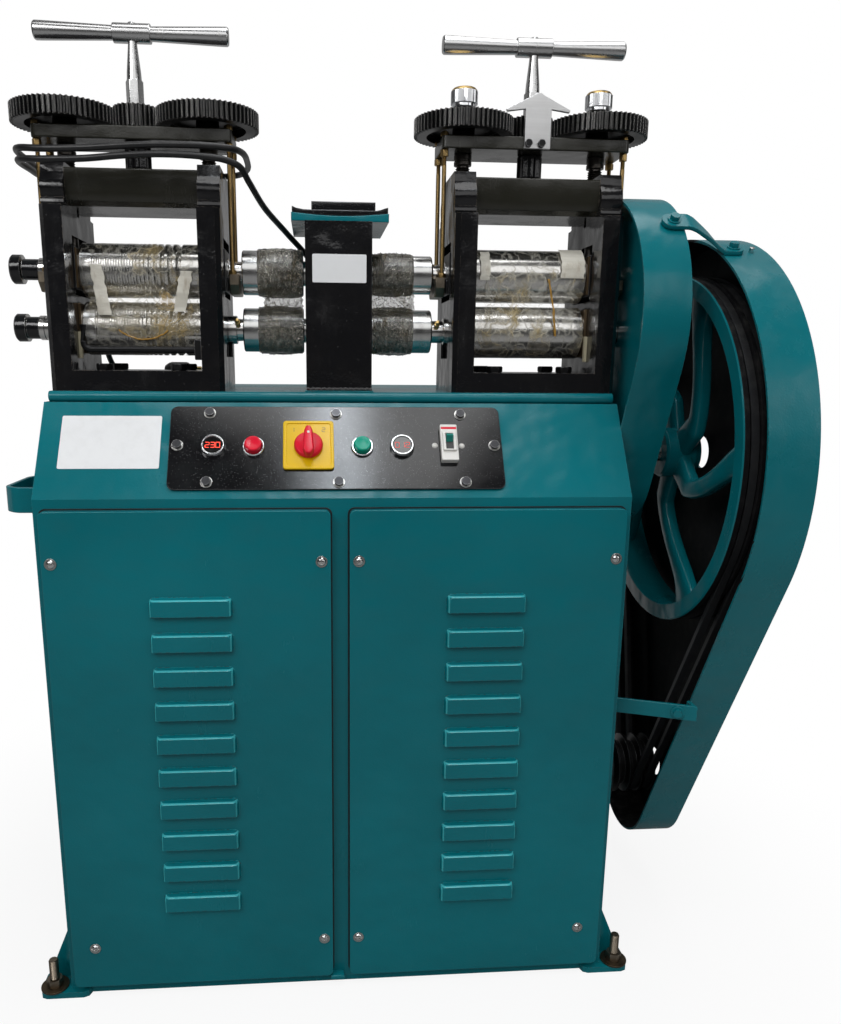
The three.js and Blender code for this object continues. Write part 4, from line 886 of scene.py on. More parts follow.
def louvre(centre, top, rise):
    """A pressed hood: flat in front, with a bevel along its top and both ends, and open below; a band on the
    bevel is painted lighter as a highlight.
    """
    inward = (0.0, 0.5, 1.1, 1.8, 2.6, 3.3, 4.4, 6.0, 9.0)
    across = [-LOUVRE_HALF + d for d in inward] + [LOUVRE_HALF - d for d in inward[::-1]]
    down = [*inward, 14.0, 18.5, LOUVRE_HIGH]
    points = []
    for layer in (0.0, 1.2):
        for drop in down:
            for x in across:
                side = LOUVRE_HALF - abs(x)
                depth = min(side, drop)
                if max(side, drop) < LOUVRE_CORNER:
                    depth = LOUVRE_CORNER - math.hypot(LOUVRE_CORNER - side, LOUVRE_CORNER - drop)
                share = min(1.0, max(0.0, depth / LOUVRE_BEVEL))
                stand = rise * (1 - (1 - share) ** 1.5)
                points.append((centre + x, FRONT_Y - 12.05 - stand + layer, top - drop))
    size = len(across)
    count = size * len(down)
    faces, finishes = [], []
    for j in range(len(down) - 1):
        for i in range(size - 1):
            a = j * size + i
            faces.append((a, a + 1, a + 1 + size, a + size))
            faces.append(tuple(v + count for v in (a + size, a + 1 + size, a + 1, a)))
            # The band of faces on the bevel takes the lighter second finish: a painted highlight along the
            # top and both ends.
            step = min(i, size - 2 - i, j)
            finishes += [1 if step in (3, 4) else 0, 0]
    for i in range(size - 1):
        a = count - size + i
        faces.append((a, a + 1, a + 1 + count, a + count))
        finishes.append(0)
    made = Shape(points, faces)
    made.finishes = finishes
    return made


def build_cabinet():
    outline = [(-210, 8), (210, 8), (210, 755), (-136, 755), (-210, 649)]
    inner = [(-207, -5), (207, -5), (207, 770), (-133.5, 770), (-133.5, 754), (-207, 648)]
    cuts = [prism(inner, -347, 347, facing="X")]
    for side in SIDES:
        low, high = beside(0, side, 34, 320)
        cuts.append(block(low, high, -230, -190, 60, 590, edge=0.01))
    cuts.append(prism(ring(MOTOR_Y, MOTOR_Z, 92), 330, 360, facing="X"))
    cuts.append(prism(ring(PULLEY_Y, PULLEY_Z, 14), 330, 360, facing="X"))
    shell = carved(prism(outline, -350, 350, facing="X"), cuts, edge=1.2)
    make("cabinet_walls", shell, "root", "teal_enamel", "cabinet_shell")
    nose = [*arc(-136 + 6.4, 761.5, 6.5, 100, 260, 10), (210, 755), (210, 768)]
    make("table_slab", plate(nose, -345, 345, edge=1.0, facing="X"), "root", "teal_enamel", "top_plate")
    make("foot_weld", block(-14, 4, -222, -209, 9, 16, edge=2.4), "root", "teal_enamel")
    dress("base_frame", "teal_enamel")
    studs, nuts, washers = Shape(), Shape(), Shape()
    for sx in SIDES:
        for sy in SIDES:
            spot = Matrix.Translation((sx * 372, sy * 206, 8))
            studs.add(threads(6, 0.4, 40, 1.75).placed(spot))
            nuts.add(hexagon(18.6, 2.6, 13, turn=0.3 * sx).placed(spot))
            washers.add(washer(6.6, 17.5, 0.2, 2.5).placed(spot))
    make("foot_studs", studs, "root", "aged_steel")
    make("foot_nuts", nuts, "root", "aged_steel")
    make("foot_washers", washers, "root", "brown_washer")


def build_doors(sizes):
    for side, name in ((-1, "left"), (1, "right")):
        x0, x1 = beside(0, side, 11, 342)
        centre = side * 175
        tops = [LOUVRE_TOP - LOUVRE_PITCH * i for i in range(LOUVRE_COUNT)]
        slots = [corners(centre - 44, top - LOUVRE_HIGH + 1.5, centre + 44, top - 9) for top in tops]
        face = plate(rounded(x0, 16.5, x1, 636.5, 7), -222, -220, slots, edge=0.9, facing="Y")
        inside = [rounded(x0 + 2, 18.5, x1 - 2, 634.5, 5)]
        rim = plate(rounded(x0, 16.5, x1, 636.5, 7), -221, -210.1, inside, edge=0.7, facing="Y")
        door = face.add(rim)
        for top in tops:
            door.add(louvre(centre, top, sizes.louvre_rise))
        make(f"{name}_door_panel", door, "root", ["teal_enamel", "painted_highlight_enamel"], f"{name}_door")
        # A thin black strip round each door, just in front of the cabinet, darkens the gap: grime, and a
        # painted shadow line.
        inside = [rounded(x0 + 5, 21, x1 - 5, 632, 4)]
        outside = rounded(x0 - 1.8, 14.7, x1 + 1.8, 638.3, 8)
        gap_grime_and_shadow = plate(outside, -211, -210.05, inside, edge=0.2, facing="Y")
        make(f"{name}_door_seal", gap_grime_and_shadow, "root", "cord_rubber")
        screws, rings = Shape(), Shape()
        for i, (x, z) in enumerate(DOOR_SCREWS[side]):
            stand = Matrix.Translation((x, -222, z)) @ Matrix.Rotation(math.pi / 2, 4, "X")
            turned = stand @ Matrix.Rotation(0.5 + 1.3 * i, 4, "Z")
            screws.add(slotted_head(5.8, 3.4, 1.8, 2.4).placed(turned))
            rings.add(washer(3, 6.9, 0.1, 1.0).placed(stand))
        make(f"{name}_door_screws", screws, "root", "bright_screw")
        make(f"{name}_door_rings", rings, "root", "screw_steel")


def side_loop():
    """The bent bar that the cabinet is lifted by."""
    line = [(-350, -147.5), (-388, -147.5), (-402.5, -133), (-402.5, -47), (-388, -32.5), (-350, -32.5)]
    path = soften([Vector((x, y, 638.5)) for x, y in line], 17, steps=8)
    return sweep([tuple(p) for p in path], rounded(-2.5, -15.5, 2.5, 15.5, 1.2, 3))


def build_side_handle():
    make("side_bar", side_loop(), "root", "teal_enamel", "side_handle")


def digit(number, size):
    """One segment digit, lying flat, as strips for the lit segments."""
    strokes = {
        "top": (-0.28, 0.9, 0.28, 1.0), "middle": (-0.26, 0.45, 0.26, 0.55), "foot": (-0.28, 0.0, 0.28, 0.1),
        "upper_left": (-0.36, 0.54, -0.26, 0.94), "upper_right": (0.26, 0.54, 0.36, 0.94),
        "lower_left": (-0.36, 0.06, -0.26, 0.46), "lower_right": (0.26, 0.06, 0.36, 0.46),
    }
    lit = {
        0: "top foot upper_left upper_right lower_left lower_right",
        1: "upper_right lower_right",
        2: "top middle foot upper_right lower_left",
        3: "top middle foot upper_right lower_right",
    }[number]
    made = Shape()
    for name in lit.split():
        x0, y0, x1, y1 = (v * size for v in strokes[name])
        made.add(plate(corners(x0, y0 - size / 2, x1, y1 - size / 2), 0, 0.12, edge=0.04))
    return made


def build_controls():
    def on_slope(shape, u=0.0, v=0.0, w=0.0):
        return shape.placed(SLOPE @ Matrix.Translation((u, v, w)))

    openings = [ring(u, DEVICE_V, 10.35) for u in BUTTONS.values()]
    panel = on_slope(plate(rounded(-199.7, 10, 197.3, 122, 9), 0.3, 3.3, openings, edge=0.7))
    heads, washers = Shape(), Shape()
    spots = [
        (-153.4, 112), (-190, 68.3), (-154.4, 19.5), (-2.7, 111.2), (-0.8, 19), (148.9, 110.9),
        (187.8, 67.8), (149.3, 18.5),
    ]
    for i, (u, v) in enumerate(spots):
        turned = bolt(10.5, 4.0).placed(Matrix.Rotation(0.7 * i, 4, "Z"))
        heads.add(on_slope(turned, u, v, 4.3))
        washers.add(on_slope(washer(2, 7.2, 0, 1), u, v, 3.35))
    make("panel_bolts", heads, "root", "dark_bolt")
    make("panel_washers", washers, "root", "screw_steel")
    bezels = Shape()
    for u in BUTTONS.values():
        profile = [
            (10.4, 0.05), (13.2, 0.05), (13.2, 2.6), (12.4, 3.8), (11.2, 3.8), (10.5, 2.8), (10.4, 0.05),
        ]
        bezels.add(on_slope(lathe(profile, edge=0.4), u, DEVICE_V, 3.3))
    make("button_face", panel, "root", "black_enamel", "control_plate")
    make("button_bezels", bezels, "root", "chrome")
    for name, u in BUTTONS.items():
        profile = [(0, 4.6), (10, 4.6), (10, 12.5), (9, 13.7), (7.8, 13.9), (5, 13.5), (0, 13.3)]
        cap = on_slope(lathe(profile, edge=0.8), u, DEVICE_V)
        make(f"{name}_cap", cap, f"{name}_push", f"{name}_moulding", f"{name}_button")
    for name, u, digits in (("left", -148.3, (2, 3, 0)), ("right", 75.7, (0, 1, 2))):
        profile = [(0, 3.6), (14.4, 3.6), (14.4, 7.6), (13.2, 10.2), (11.6, 10.2), (11.2, 8.8), (0, 8.8)]
        made = on_slope(lathe(profile, edge=0.5), u, DEVICE_V)
        middle = SLOPE @ Vector((u, DEVICE_V, 0))
        normal = SLOPE.to_3x3() @ Vector((0, 0, 1))

        def is_glass(face_middle):
            here = face_middle - middle
            return (here - normal * here.dot(normal)).length < 11.3 and here.dot(normal) > 8

        make(f"{name}_meter_body", made.painted(is_glass), "root", ["chrome", "meter_glass"], f"{name}_meter")
        glow = "red_digits" if name == "left" else "dim_digits"
        lit = Shape()
        for i, number in enumerate(digits):
            lit.add(on_slope(digit(number, 7.6), u + (i - 1) * 6.2, DEVICE_V, 8.85))
        make(f"{name}_meter_digits", lit, "root", glow)
    base = plate(rounded(-66, 35, -6, 100, 4), 3.6, 6.2, edge=0.8)
    rim = plate(rounded(-66, 35, -6, 100, 4), 5.4, 7.2, [rounded(-62, 39, -10, 96, 2.5)], edge=0.8)
    make("switch_square", on_slope(base.add(rim)), "root", "yellow_moulding", "switch_plate")
    marks = Shape()
    marks.add(on_slope(digit(1, 6), -55, 88, 6.2), on_slope(digit(2, 6), -18, 88, 6.2))
    make("switch_numbers", marks, "root", "dark_moulding")
    grip_line = [
        (-6.5, -13), (-5, 12), (-2.5, 18.5), (2.5, 18.5), (5, 12), (6.5, -13), (2.5, -19), (-2.5, -19),
    ]
    knob = lathe([(0, 7), (17, 7), (17, 10.4), (15.6, 13), (11, 13.8), (0, 14)], edge=1.0)
    grip = soften([Vector((*p, 0)) for p in grip_line], 3, True)
    knob.add(plate([(p[0], p[1]) for p in grip], 12, 24, edge=2.0))
    make("knob", on_slope(knob, -36, DEVICE_V), "selector", "red_moulding", "selector_knob")
    dot = rod(1.5, 23.9, 24.25, (0, 9, 0), steps=20, edge=0.1)
    make("knob_dot", on_slope(dot, -36, DEVICE_V), "selector", "white_moulding")
    case = plate(rounded(-10.3, -24.3, 10.3, 24.3, 1.6), 3.6, 12, edge=0.9)
    nose = plate(rounded(-8, -12.5, 8, 12.5, 1.2), 11, 15, [corners(-4.6, -10.5, 4.6, 10.5)], edge=0.7)
    make("breaker_case", on_slope(case.add(nose), 132, 68.3), "root", "white_moulding", "breaker")
    stripe = plate(corners(-9.4, 17.5, 9.4, 20.5), 11.6, 12.12, edge=0.05)
    well = plate(corners(-4.5, -10.4, 4.5, 10.4), 12.02, 12.2, edge=0.05)
    make("breaker_stripe", on_slope(stripe, 132, 68.3), "root", "red_moulding")
    make("breaker_well", on_slope(well, 132, 68.3), "root", "dark_moulding")
    dress("breaker_lever", "lever_green")
    small = Shape()
    for i, (u, v) in enumerate(((115.5, 68.1), (148.1, 67.6))):
        small.add(on_slope(slotted_head(3.6, 2, 0.9, 1).placed(Matrix.Rotation(0.6 + i, 4, "Z")), u, v, 3.35))
    make("breaker_screws", small, "root", "white_moulding")
    label = on_slope(plate(rounded(-326, 39, -210, 110, 2), 0.1, 0.6, edge=0.2))
    make("slope_label", label, "root", "blank_label")


# Middle column and couplings


def build_column():
    """Box with a curved upper edge, a sagging cap, and a black lid whose ends curl up."""
    def sag(x, rise):
        share = (x + 54) / 116
        return rise - 3.5 * math.sin(math.pi * min(1.0, max(0.0, share)))

    room = block(-34, 38, -124, 16, 760, 980, edge=0.01)
    box = carved(block(-38, 42, -128, 20, 768, 966.4, edge=0.01), [room], edge=1.4)
    make("column_box", box, "root", "head_enamel", "gear_column")
    make("column_foot", block(-40, 44, -130, 22, 768.1, 769.6, edge=0.7), "root", "teal_enamel")
    steps = 28
    top = [(-54 + 116 * i / steps, sag(-54 + 116 * i / steps, 976)) for i in range(steps + 1)]
    cap = plate([(-54, 966.4), (62, 966.4), *top[::-1]], -124, 16, edge=1.0, facing="Y")
    make("cap_bar", cap, "root", "teal_enamel", "column_cap")
    under = [(-53, 976.6), *[(x, z + 0.4) for x, z in top[1:-1]], (61, 976.6)]
    over = [
        (61, 983), (57, 982), (52, 980.2), (46, 979.2), (-30, 979.2), (-40, 979.6), (-48, 981),
        (-53, 983),
    ]
    lid = plate([*under, *over], -123, 15, edge=0.8, facing="Y")
    lid.add(plate([(-30, 979), (46, 979), (46, 989), (-30, 989)], -121, 13, edge=1.6, facing="Y"))
    make("lid_tray", lid, "root", "black_enamel", "column_lid")
    label = plate(rounded(-29.5, 896.5, 35, 929, 1.5), -128.6, -128.1, edge=0.15, facing="Y")
    make("column_label", label, "root", "blank_label")
    bead = [(-38 + 80 * i / 40, -128.6, 771.5 + 0.7 * math.sin(i * 1.9)) for i in range(41)]
    make("column_welds", sweep(bead, ring(0, 0, 1.9, 8)), "root", "black_gloss")


def build_couplings():
    for name, z, body, left_r, left_bore, right_r, right_bore in (
        ("upper", UPPER_Z, "upper_line", 27.0, 22.0, 23.5, 19.0),
        ("lower", LOWER_Z, "lower_line", 27.0, 22.0, 27.0, 22.0),
    ):
        profile = [
            (0, -88), (left_bore, -88), (left_bore, -117), (left_r - 1.2, -117), (left_r, -115.8),
            (left_r, -41), (15, -41), (15, 45), (right_r, 45), (right_r, 120.8), (right_r - 1.2, 122),
            (right_bore, 122), (right_bore, 92), (0, 92),
        ]
        shaft = lathe(profile, (0, HEAD_Y, z), "X", 72, edge=0.9)
        phase = math.pi / 2 if name == "lower" else -math.pi / 2 + math.pi / COLUMN_TEETH
        teeth = gear_outline(0, 0, COLUMN_TEETH, COLUMN_MODULE, phase, 0.9, 0.5)
        teeth = plate(teeth, -28, 32, edge=0.9, facing="X").moved(y=HEAD_Y, z=z)
        make(f"{name}_coupling", shaft, body, "turned_steel", f"{name}_coupling_shaft")
        make(f"{name}_column_pinion", teeth, body, "gear_black")


def build_nipples():
    """Grease nipples and short pins under the couplings; they stand on the lower line."""
    made, pins = Shape(), Shape()
    for x in (-124, 129):
        stand = Matrix.Translation((x, HEAD_Y, LOWER_Z)) @ Matrix.Rotation(math.radians(68), 4, "X")
        profile = [(0, 10), (3.4, 10), (3.4, 24.5), (2.2, 25), (1.6, 27), (2.6, 28.5), (2.2, 30.4), (0, 31.2)]
        made.add(lathe(profile, steps=20, edge=0.3).placed(stand))
    for x in (-135, 140):
        pins.add(rod(2.3, -34, -12, (x, HEAD_Y, LOWER_Z), steps=20, edge=0.6))
    make("grease_nipples", made, "lower_line", "turned_brass")
    make("collar_pins", pins, "lower_line", "black_oxide")


# Heads


# Right-hand side of a post in (y, z), from its foot to its shoulder and over the neck's swells
POST_LINE = [
    (74, 768), (74, 979), (64, 979.4), (60, 980.6), (61.5, 983), (61, 986), (58, 989), (58.8, 992),
    (60.8, 997), (61, 1001), (60, 1006), (57.5, 1010), (54.5, 1013.5), (52.8, 1018), (52, 1024), (50, 1029),
]


def build_head(name, centre):
    face = [(HEAD_Y + y, z) for y, z in POST_LINE] + [(HEAD_Y - y, z) for y, z in POST_LINE[::-1]]
    body = prism(face, centre - 103, centre + 103, facing="X")
    bay = [(centre - 76.5, 792), (centre + 76.5, 792), (centre + 76.5, 1040), (centre - 76.5, 1040)]
    posts = carved(body, [prism(bay, -140, 40, facing="Y")], edge=0)
    cuts = []
    for turn in SIDES:
        x0, x1 = beside(centre, turn, 60, 120)
        cuts.append(prism(rounded(HEAD_Y - 36, 881, HEAD_Y + 36, 950, 2), x0, x1, facing="X"))
        cuts.append(prism(ring(HEAD_Y, LOWER_Z, 17.7, 40), x0, x1, facing="X"))
        cuts.append(prism(ring(centre + turn * SCREW_OFFSET, HEAD_Y, SCREW_HOLE, 32), 975, 1040))
        cuts.append(prism(ring(centre + turn * SCREW_OFFSET, HEAD_Y, 7.7, 32), 940, 985))
        for cy in SIDES:
            post_edge = centre + turn * 103
            outer = HEAD_Y + cy * 74
            corner_cut = [
                (post_edge + turn, outer + cy), (post_edge - turn * 7, outer + cy),
                (post_edge + turn, outer - cy * 7),
            ]
            cuts.append(prism(corner_cut, 760, 1040))
    posts = carved(posts, cuts, edge=1.3)
    beam_line = [
        (HEAD_Y - 52, 997), (HEAD_Y - 52, 1021.5), (HEAD_Y - 50.5, 1023), (HEAD_Y + 50.5, 1023),
        (HEAD_Y + 52, 1021.5), (HEAD_Y + 52, 997), (HEAD_Y + 48, 987), (HEAD_Y + 40, 982),
        (HEAD_Y - 40, 982), (HEAD_Y - 48, 987),
    ]
    beam = carved(
        prism(beam_line, centre - 80, centre + 80, facing="X"),
        [prism(ring(centre + turn * SCREW_OFFSET, HEAD_Y, SCREW_HOLE, 32), 975, 1040) for turn in SIDES],
        edge=0.8,
    )
    # The beam takes the lighter brown second finish, a painted reflection on its front.
    make(
        f"{name}_casting", posts.add(beam.painted()), "root", ["head_enamel", "brown_enamel"],
        f"{name}_head_frame",
    )
    floor_bolts = Shape()
    for x in (-45, 45):
        for y in (-100, -10):
            floor_bolts.add(bolt(18, 8).moved(centre + x, y, 792.1))
    make(f"{name}_hold_down_bolts", floor_bolts, "root", "black_oxide")
    strips = Shape()
    for turn in SIDES:
        x0, x1 = beside(centre, turn, 73.5, 76.4)
        strips.add(block(x0, x1, HEAD_Y - 30, HEAD_Y + 30, 812, 872, edge=0.6))
    holes = [prism(ring(HEAD_Y, LOWER_Z, 18.5, 40), centre - 90, centre + 90, facing="X")]
    pads = Shape()
    for turn in SIDES:
        x0, x1 = beside(centre, turn, 73.4, 76.5)
        pads.add(block(x0, x1, HEAD_Y - 37, HEAD_Y - 30.4, 806, 838, edge=0.7))
    make(f"{name}_bearing_pads", pads, "root", "cream")
    make(f"{name}_bearing_strips", carved(strips, holes, edge=0.3), "root", "bronze")


def build_hanger(name, side, centre, place):
    body = f"{name}_lift"
    x0, x1 = beside(centre, side, 75, 104.4)
    hole = prism(ring(HEAD_Y, UPPER_Z, 17.6, 40), x0 - 5, x1 + 5, facing="X")
    chock = carved(block(x0, x1, HEAD_Y - 35.5, HEAD_Y + 35.5, 888, 938, edge=1.2), [hole], edge=0.3)
    b0, b1 = beside(centre, side, 103, 109.5)
    chock.add(block(b0, b1, HEAD_Y - 22, HEAD_Y + 22, 889, 906, edge=0.8))
    s0, s1 = beside(centre, side, 108, 121)
    shape = [
        (HEAD_Y - 33, 908), (HEAD_Y + 33, 908), (HEAD_Y + 33, 896), (HEAD_Y + 22, 885),
        (HEAD_Y - 22, 885), (HEAD_Y - 33, 896),
    ]
    chock.add(plate(shape, s0, s1, edge=1.6, facing="X", finish=1))
    make(f"{name}_{place}_chock", chock, body, ["black_oxide", "aged_steel"], f"{name}_{place}_hanger")
    c0, c1 = beside(centre, side, 73.3, 75.2)
    strip = block(c0, c1, HEAD_Y - 33, HEAD_Y + 33, 890, 936, edge=0.5)
    hole = prism(ring(HEAD_Y, UPPER_Z, 18.5, 40), c0 - 5, c1 + 5, facing="X")
    make(f"{name}_{place}_thrust_strip", carved(strip, [hole], edge=0.2), body, "bronze")
    rods, nuts = Shape(), Shape()
    for y in (-25.5, 25.5):
        x = centre + side * 112
        rods.add(rod(2.75, 900, 1040, (x, HEAD_Y + y, 0), steps=20))
        rods.add(threads(2.75, 1038, 1079.5, 0.9, (x, HEAD_Y + y, 0)))
        for low, high in ((1050.2, 1057.8), (1073.2, 1078.0)):
            nuts.add(hexagon(9.2, low, high, (x, HEAD_Y + y, 0), turn=0.3 * y))
        nuts.add(hexagon(9.2, 908.2, 913.5, (x, HEAD_Y + y, 0), turn=0.2 * y))
    make(f"{name}_{place}_rods", rods, body, "old_brass")
    make(f"{name}_{place}_nuts", nuts, body, "old_brass")


def build_lift(name, centre):
    body = f"{name}_lift"
    sharp = corners(centre - 116.5, HEAD_Y - 36.5, centre + 116.5, HEAD_Y + 36.5)
    outline = soften([Vector((x, y, 0)) for x, y in sharp], 7, True, 5)
    holes = [ring(centre + s * SCREW_OFFSET, HEAD_Y, SCREW_HOLE, 32) for s in SIDES]
    slab = plate([(p[0], p[1]) for p in outline], 1058, 1073, holes, edge=1.6)
    make(f"{name}_lift_slab", slab, body, "brown_enamel", f"{name}_lift_plate")
    ribs = []
    for i in range(96):
        angle = 2 * math.pi * i / 96
        reach = 14.6 + 1.2 * math.cos(angle * 8)
        ribs.append((centre + reach * math.cos(angle), HEAD_Y + reach * math.sin(angle)))
    boss = plate(ribs, 1030, 1058.5, edge=2.6)
    boss.add(rod(12, 1028.5, 1031, (centre, HEAD_Y, 0), edge=0.8))
    make(f"{name}_lift_boss", boss, body, "black_gloss")


def build_screws(name, centre):
    for side, place in ((-1, "left"), (1, "right")):
        body = f"{name}_{place}_screw"
        at = (centre + side * SCREW_OFFSET, HEAD_Y, 0)
        top = 1112 if name == "right" else 1101
        shaft = lathe([(0, 938.4), (7, 938.4), (7, 985), (8.7, 985), (8.7, 1031), (0, 1031)], at, edge=0.4)
        shaft.add(threads(9, 985, 1046, 2.5, at))
        collar = [
            (0, 1045), (11, 1045), (11, 1049.5), (10.4, 1050.2), (10.4, 1051.4), (11, 1052),
            (11, 1057.6), (0, 1057.6),
        ]
        shaft.add(lathe(collar, at, edge=0.5), threads(9, 1074, top, 1.6, at))
        replaced = f"{name}_head_{place}_screw"
        if name == "right":
            knurl = []
            for k in range(180):
                angle, reach = math.radians(2 * k), 16.5 + 0.22 * (k % 2)
                knurl.append((at[0] + reach * math.cos(angle), HEAD_Y + reach * math.sin(angle)))
            shaft.add(plate(knurl, 1115.5, 1130.5, edge=0.5, finish=1))
            flange = [(0, 1111.2), (14, 1111.2), (14.6, 1112), (14.6, 1116), (0, 1116)]
            shaft.add(lathe(flange, at, edge=0.4, finish=1))
            cap = [(0, 1130.2), (15.6, 1130.2), (15.6, 1132), (13.6, 1133.9), (0, 1133.9)]
            make(f"{name}_{place}_screw_cap", lathe(cap, at, edge=0.5), body, "turned_brass")
        make(f"{name}_{place}_screw_shaft", shaft, body, ["dark_screw", "chrome"], replaced)
        phase = math.pi / SCREW_TEETH if side > 0 else 0.0
        teeth = plate(
            gear_outline(at[0], HEAD_Y, SCREW_TEETH, SCREW_MODULE, phase, 0.95, 0.25), 1078, 1098,
            [ring(at[0], HEAD_Y, 46, 72)], edge=0.7,
        )
        disc = [
            (14, 1073.3), (14, 1088), (46.3, 1088), (46.3, 1097.6), (9.2, 1097.6), (9.2, 1073.3),
            (14, 1073.3),
        ]
        teeth.add(lathe(disc, at, edge=0.6))
        make(f"{name}_{place}_gear", teeth, body, "gear_black", f"{name}_head_{place}_gear")


def build_top_handle(name, centre):
    body = f"{name}_handle"
    node_box = span(f"{name}_pinion")
    teeth = plate(
        gear_outline(centre, HEAD_Y, PINION_TEETH, SCREW_MODULE, 0.0, 0.95, 0.25), 1076, node_box[1].z,
        edge=0.6,
    )
    teeth.add(rod(7.4, node_box[0].z, 1077, (centre, HEAD_Y, 0)))
    make(f"{name}_screw_pinion", teeth, body, "gear_black", f"{name}_pinion")
    at = (centre, HEAD_Y, 0)
    made = hexagon(18, 1101.1, 1131, at, turn=math.pi / 6)
    stem = [(0, 1129), (8.8, 1129), (8.8, 1130.5), (8.3, 1140), (5.2, 1171), (5.2, 1182), (0, 1182)]
    made.add(lathe(stem, at, steps=40, edge=0.4))
    bar = [
        (0, -113.4), (9.2, -113.4), (10.5, -111.5), (10.4, -104), (8.2, -30), (8, -24), (8, 24),
        (8.2, 30), (10.4, 104), (10.5, 111.5), (9.2, 113.4), (0, 113.4),
    ]
    sleeve = [(7, -22), (10.8, -22), (10.8, 22), (7, 22)]
    tip = [(0, 1189), (5.4, 1190), (4.6, 1193.2), (2, 1194.4), (0, 1194.6)]
    made.add(lathe(bar, (centre, HEAD_Y, 1182), "X", 40, edge=0.8))
    made.add(lathe(sleeve, (centre, HEAD_Y, 1182), "X", 40, edge=1.0))
    made.add(lathe(tip, at, steps=24, edge=1.2))
    make(f"{name}_handle_bar", made, body, "handle_steel", f"{name}_t_handle")


GROOVES = [*[1.8] * 6, *[2.0] * 6, *[2.2] * 5, 2.8, 3.2, 3.6, 4.2, 5.0, 5.8, 6.6, 7.4]
FIRST_GROOVE = -57.0
GROOVE_PITCH = 1.55


def grooved_profile():
    """V grooves in a roll, fine at the left and coarse at the right, with plain steel at both ends."""
    place = FIRST_GROOVE
    line = []
    for width in GROOVES:
        line += [
            (ROLL_RADIUS, place), (ROLL_RADIUS - width * 0.42, place + width / 2),
            (ROLL_RADIUS, place + width),
        ]
        place += width * GROOVE_PITCH
    return line


def build_rolls(name, centre):
    barrel = grooved_profile() if name == "left" else []
    for level, z in (("upper", UPPER_Z), ("lower", LOWER_Z)):
        low, high = span(f"{name}_{level}_roll")
        start, end = low.x - centre, high.x - centre
        body = f"{name}_top_roll" if level == "upper" else "lower_line"
        line = [(0, start)]
        if level == "upper" and name == "left":
            line += [(15.5, start), (17.5, start + 2), (17.5, -147), (12.5, -146), (12.5, -126)]
        elif name == "left":
            line += [
                (15, start), (17, start + 2), (17, -146), (13.5, -145.5), (13.5, -131), (15, -130.4),
                (15, -124),
            ]
        else:
            line += [(12, start), (12.4, start + 0.4), (12.4, 123.4 - centre)]
        neck = 17.0
        line += [
            (14, line[-1][1] + 0.4), (14, -107), (neck, -106), (neck, -74), (29, -74),
            (29, -ROLL_HALF + 0.4), (31.4, -ROLL_HALF),
        ]
        line += [
            (ROLL_RADIUS, -ROLL_HALF + 1.2), *barrel, (ROLL_RADIUS, ROLL_HALF - 1.2), (31.4, ROLL_HALF),
            (29, ROLL_HALF - 0.4), (29, 74),
        ]
        if name == "right" and level == "lower":
            line += [(neck, 74), (neck, 127), (12, 127.4), (12, end), (0, end)]
        elif level == "lower":
            line += [
                (neck, 74), (neck, 103.6), (17.5, 104), (17.5, 114), (14, 114.4), (12, end - 1), (0, end),
            ]
        else:
            line += [(neck, 74), (neck, 106), (14, 107), (12, min(end - 1, 146)), (12, end), (0, end)]
        made = lathe(line, (centre, HEAD_Y, z), "X", 128, edge=0.3)
        if name == "left":
            made.painted(lambda p: p.x - centre < -128 and not -147 < p.x - centre < -143)
        make(f"{name}_{level}_barrel", made, body, ["ground_steel", "black_gloss"], f"{name}_{level}_roll")


# Drive

DRIVE_TURN = math.atan2(PULLEY_Z - LOWER_Z, PULLEY_Y - HEAD_Y)


def build_drive():
    bull = gear_outline(0, 0, BULL_TEETH, DRIVE_MODULE, DRIVE_TURN, 0.95, 0.6)
    made = plate(bull, *DRIVE_BAND, [ring(0, 0, 12.4, 40)], edge=1.0, facing="X").moved(y=HEAD_Y, z=LOWER_Z)
    make("bull_gear_teeth", made, "lower_line", "gear_black", "bull_gear")
    pinion_turn = DRIVE_TURN + math.pi + math.pi / DRIVE_TEETH
    teeth = gear_outline(0, 0, DRIVE_TEETH, DRIVE_MODULE, pinion_turn, 0.95, 0.6)
    pinion = plate(teeth, *DRIVE_BAND, edge=1.0, facing="X").moved(y=PULLEY_Y, z=PULLEY_Z)
    low, high = span("pulley_shaft")
    at = (0, PULLEY_Y, PULLEY_Z)
    shaft = rod(12.5, low.x, high.x, at, "X", edge=1.0)
    make("pulley_spindle", shaft.add(pinion), "drive_wheel", "screw_steel", "pulley_shaft")


SPOKE_STATIONS = [(28, 20), (48, 18), (75, 17), (110, 16), (145, 16), (178, 19), (200, 25), (215, 33)]


def spoke_angle(radius, index):
    share = min(1.0, max(0.0, (radius - 70) / 136))
    return math.radians(72 * index + 1 - 41 * (1 - (1 - share) ** 2))


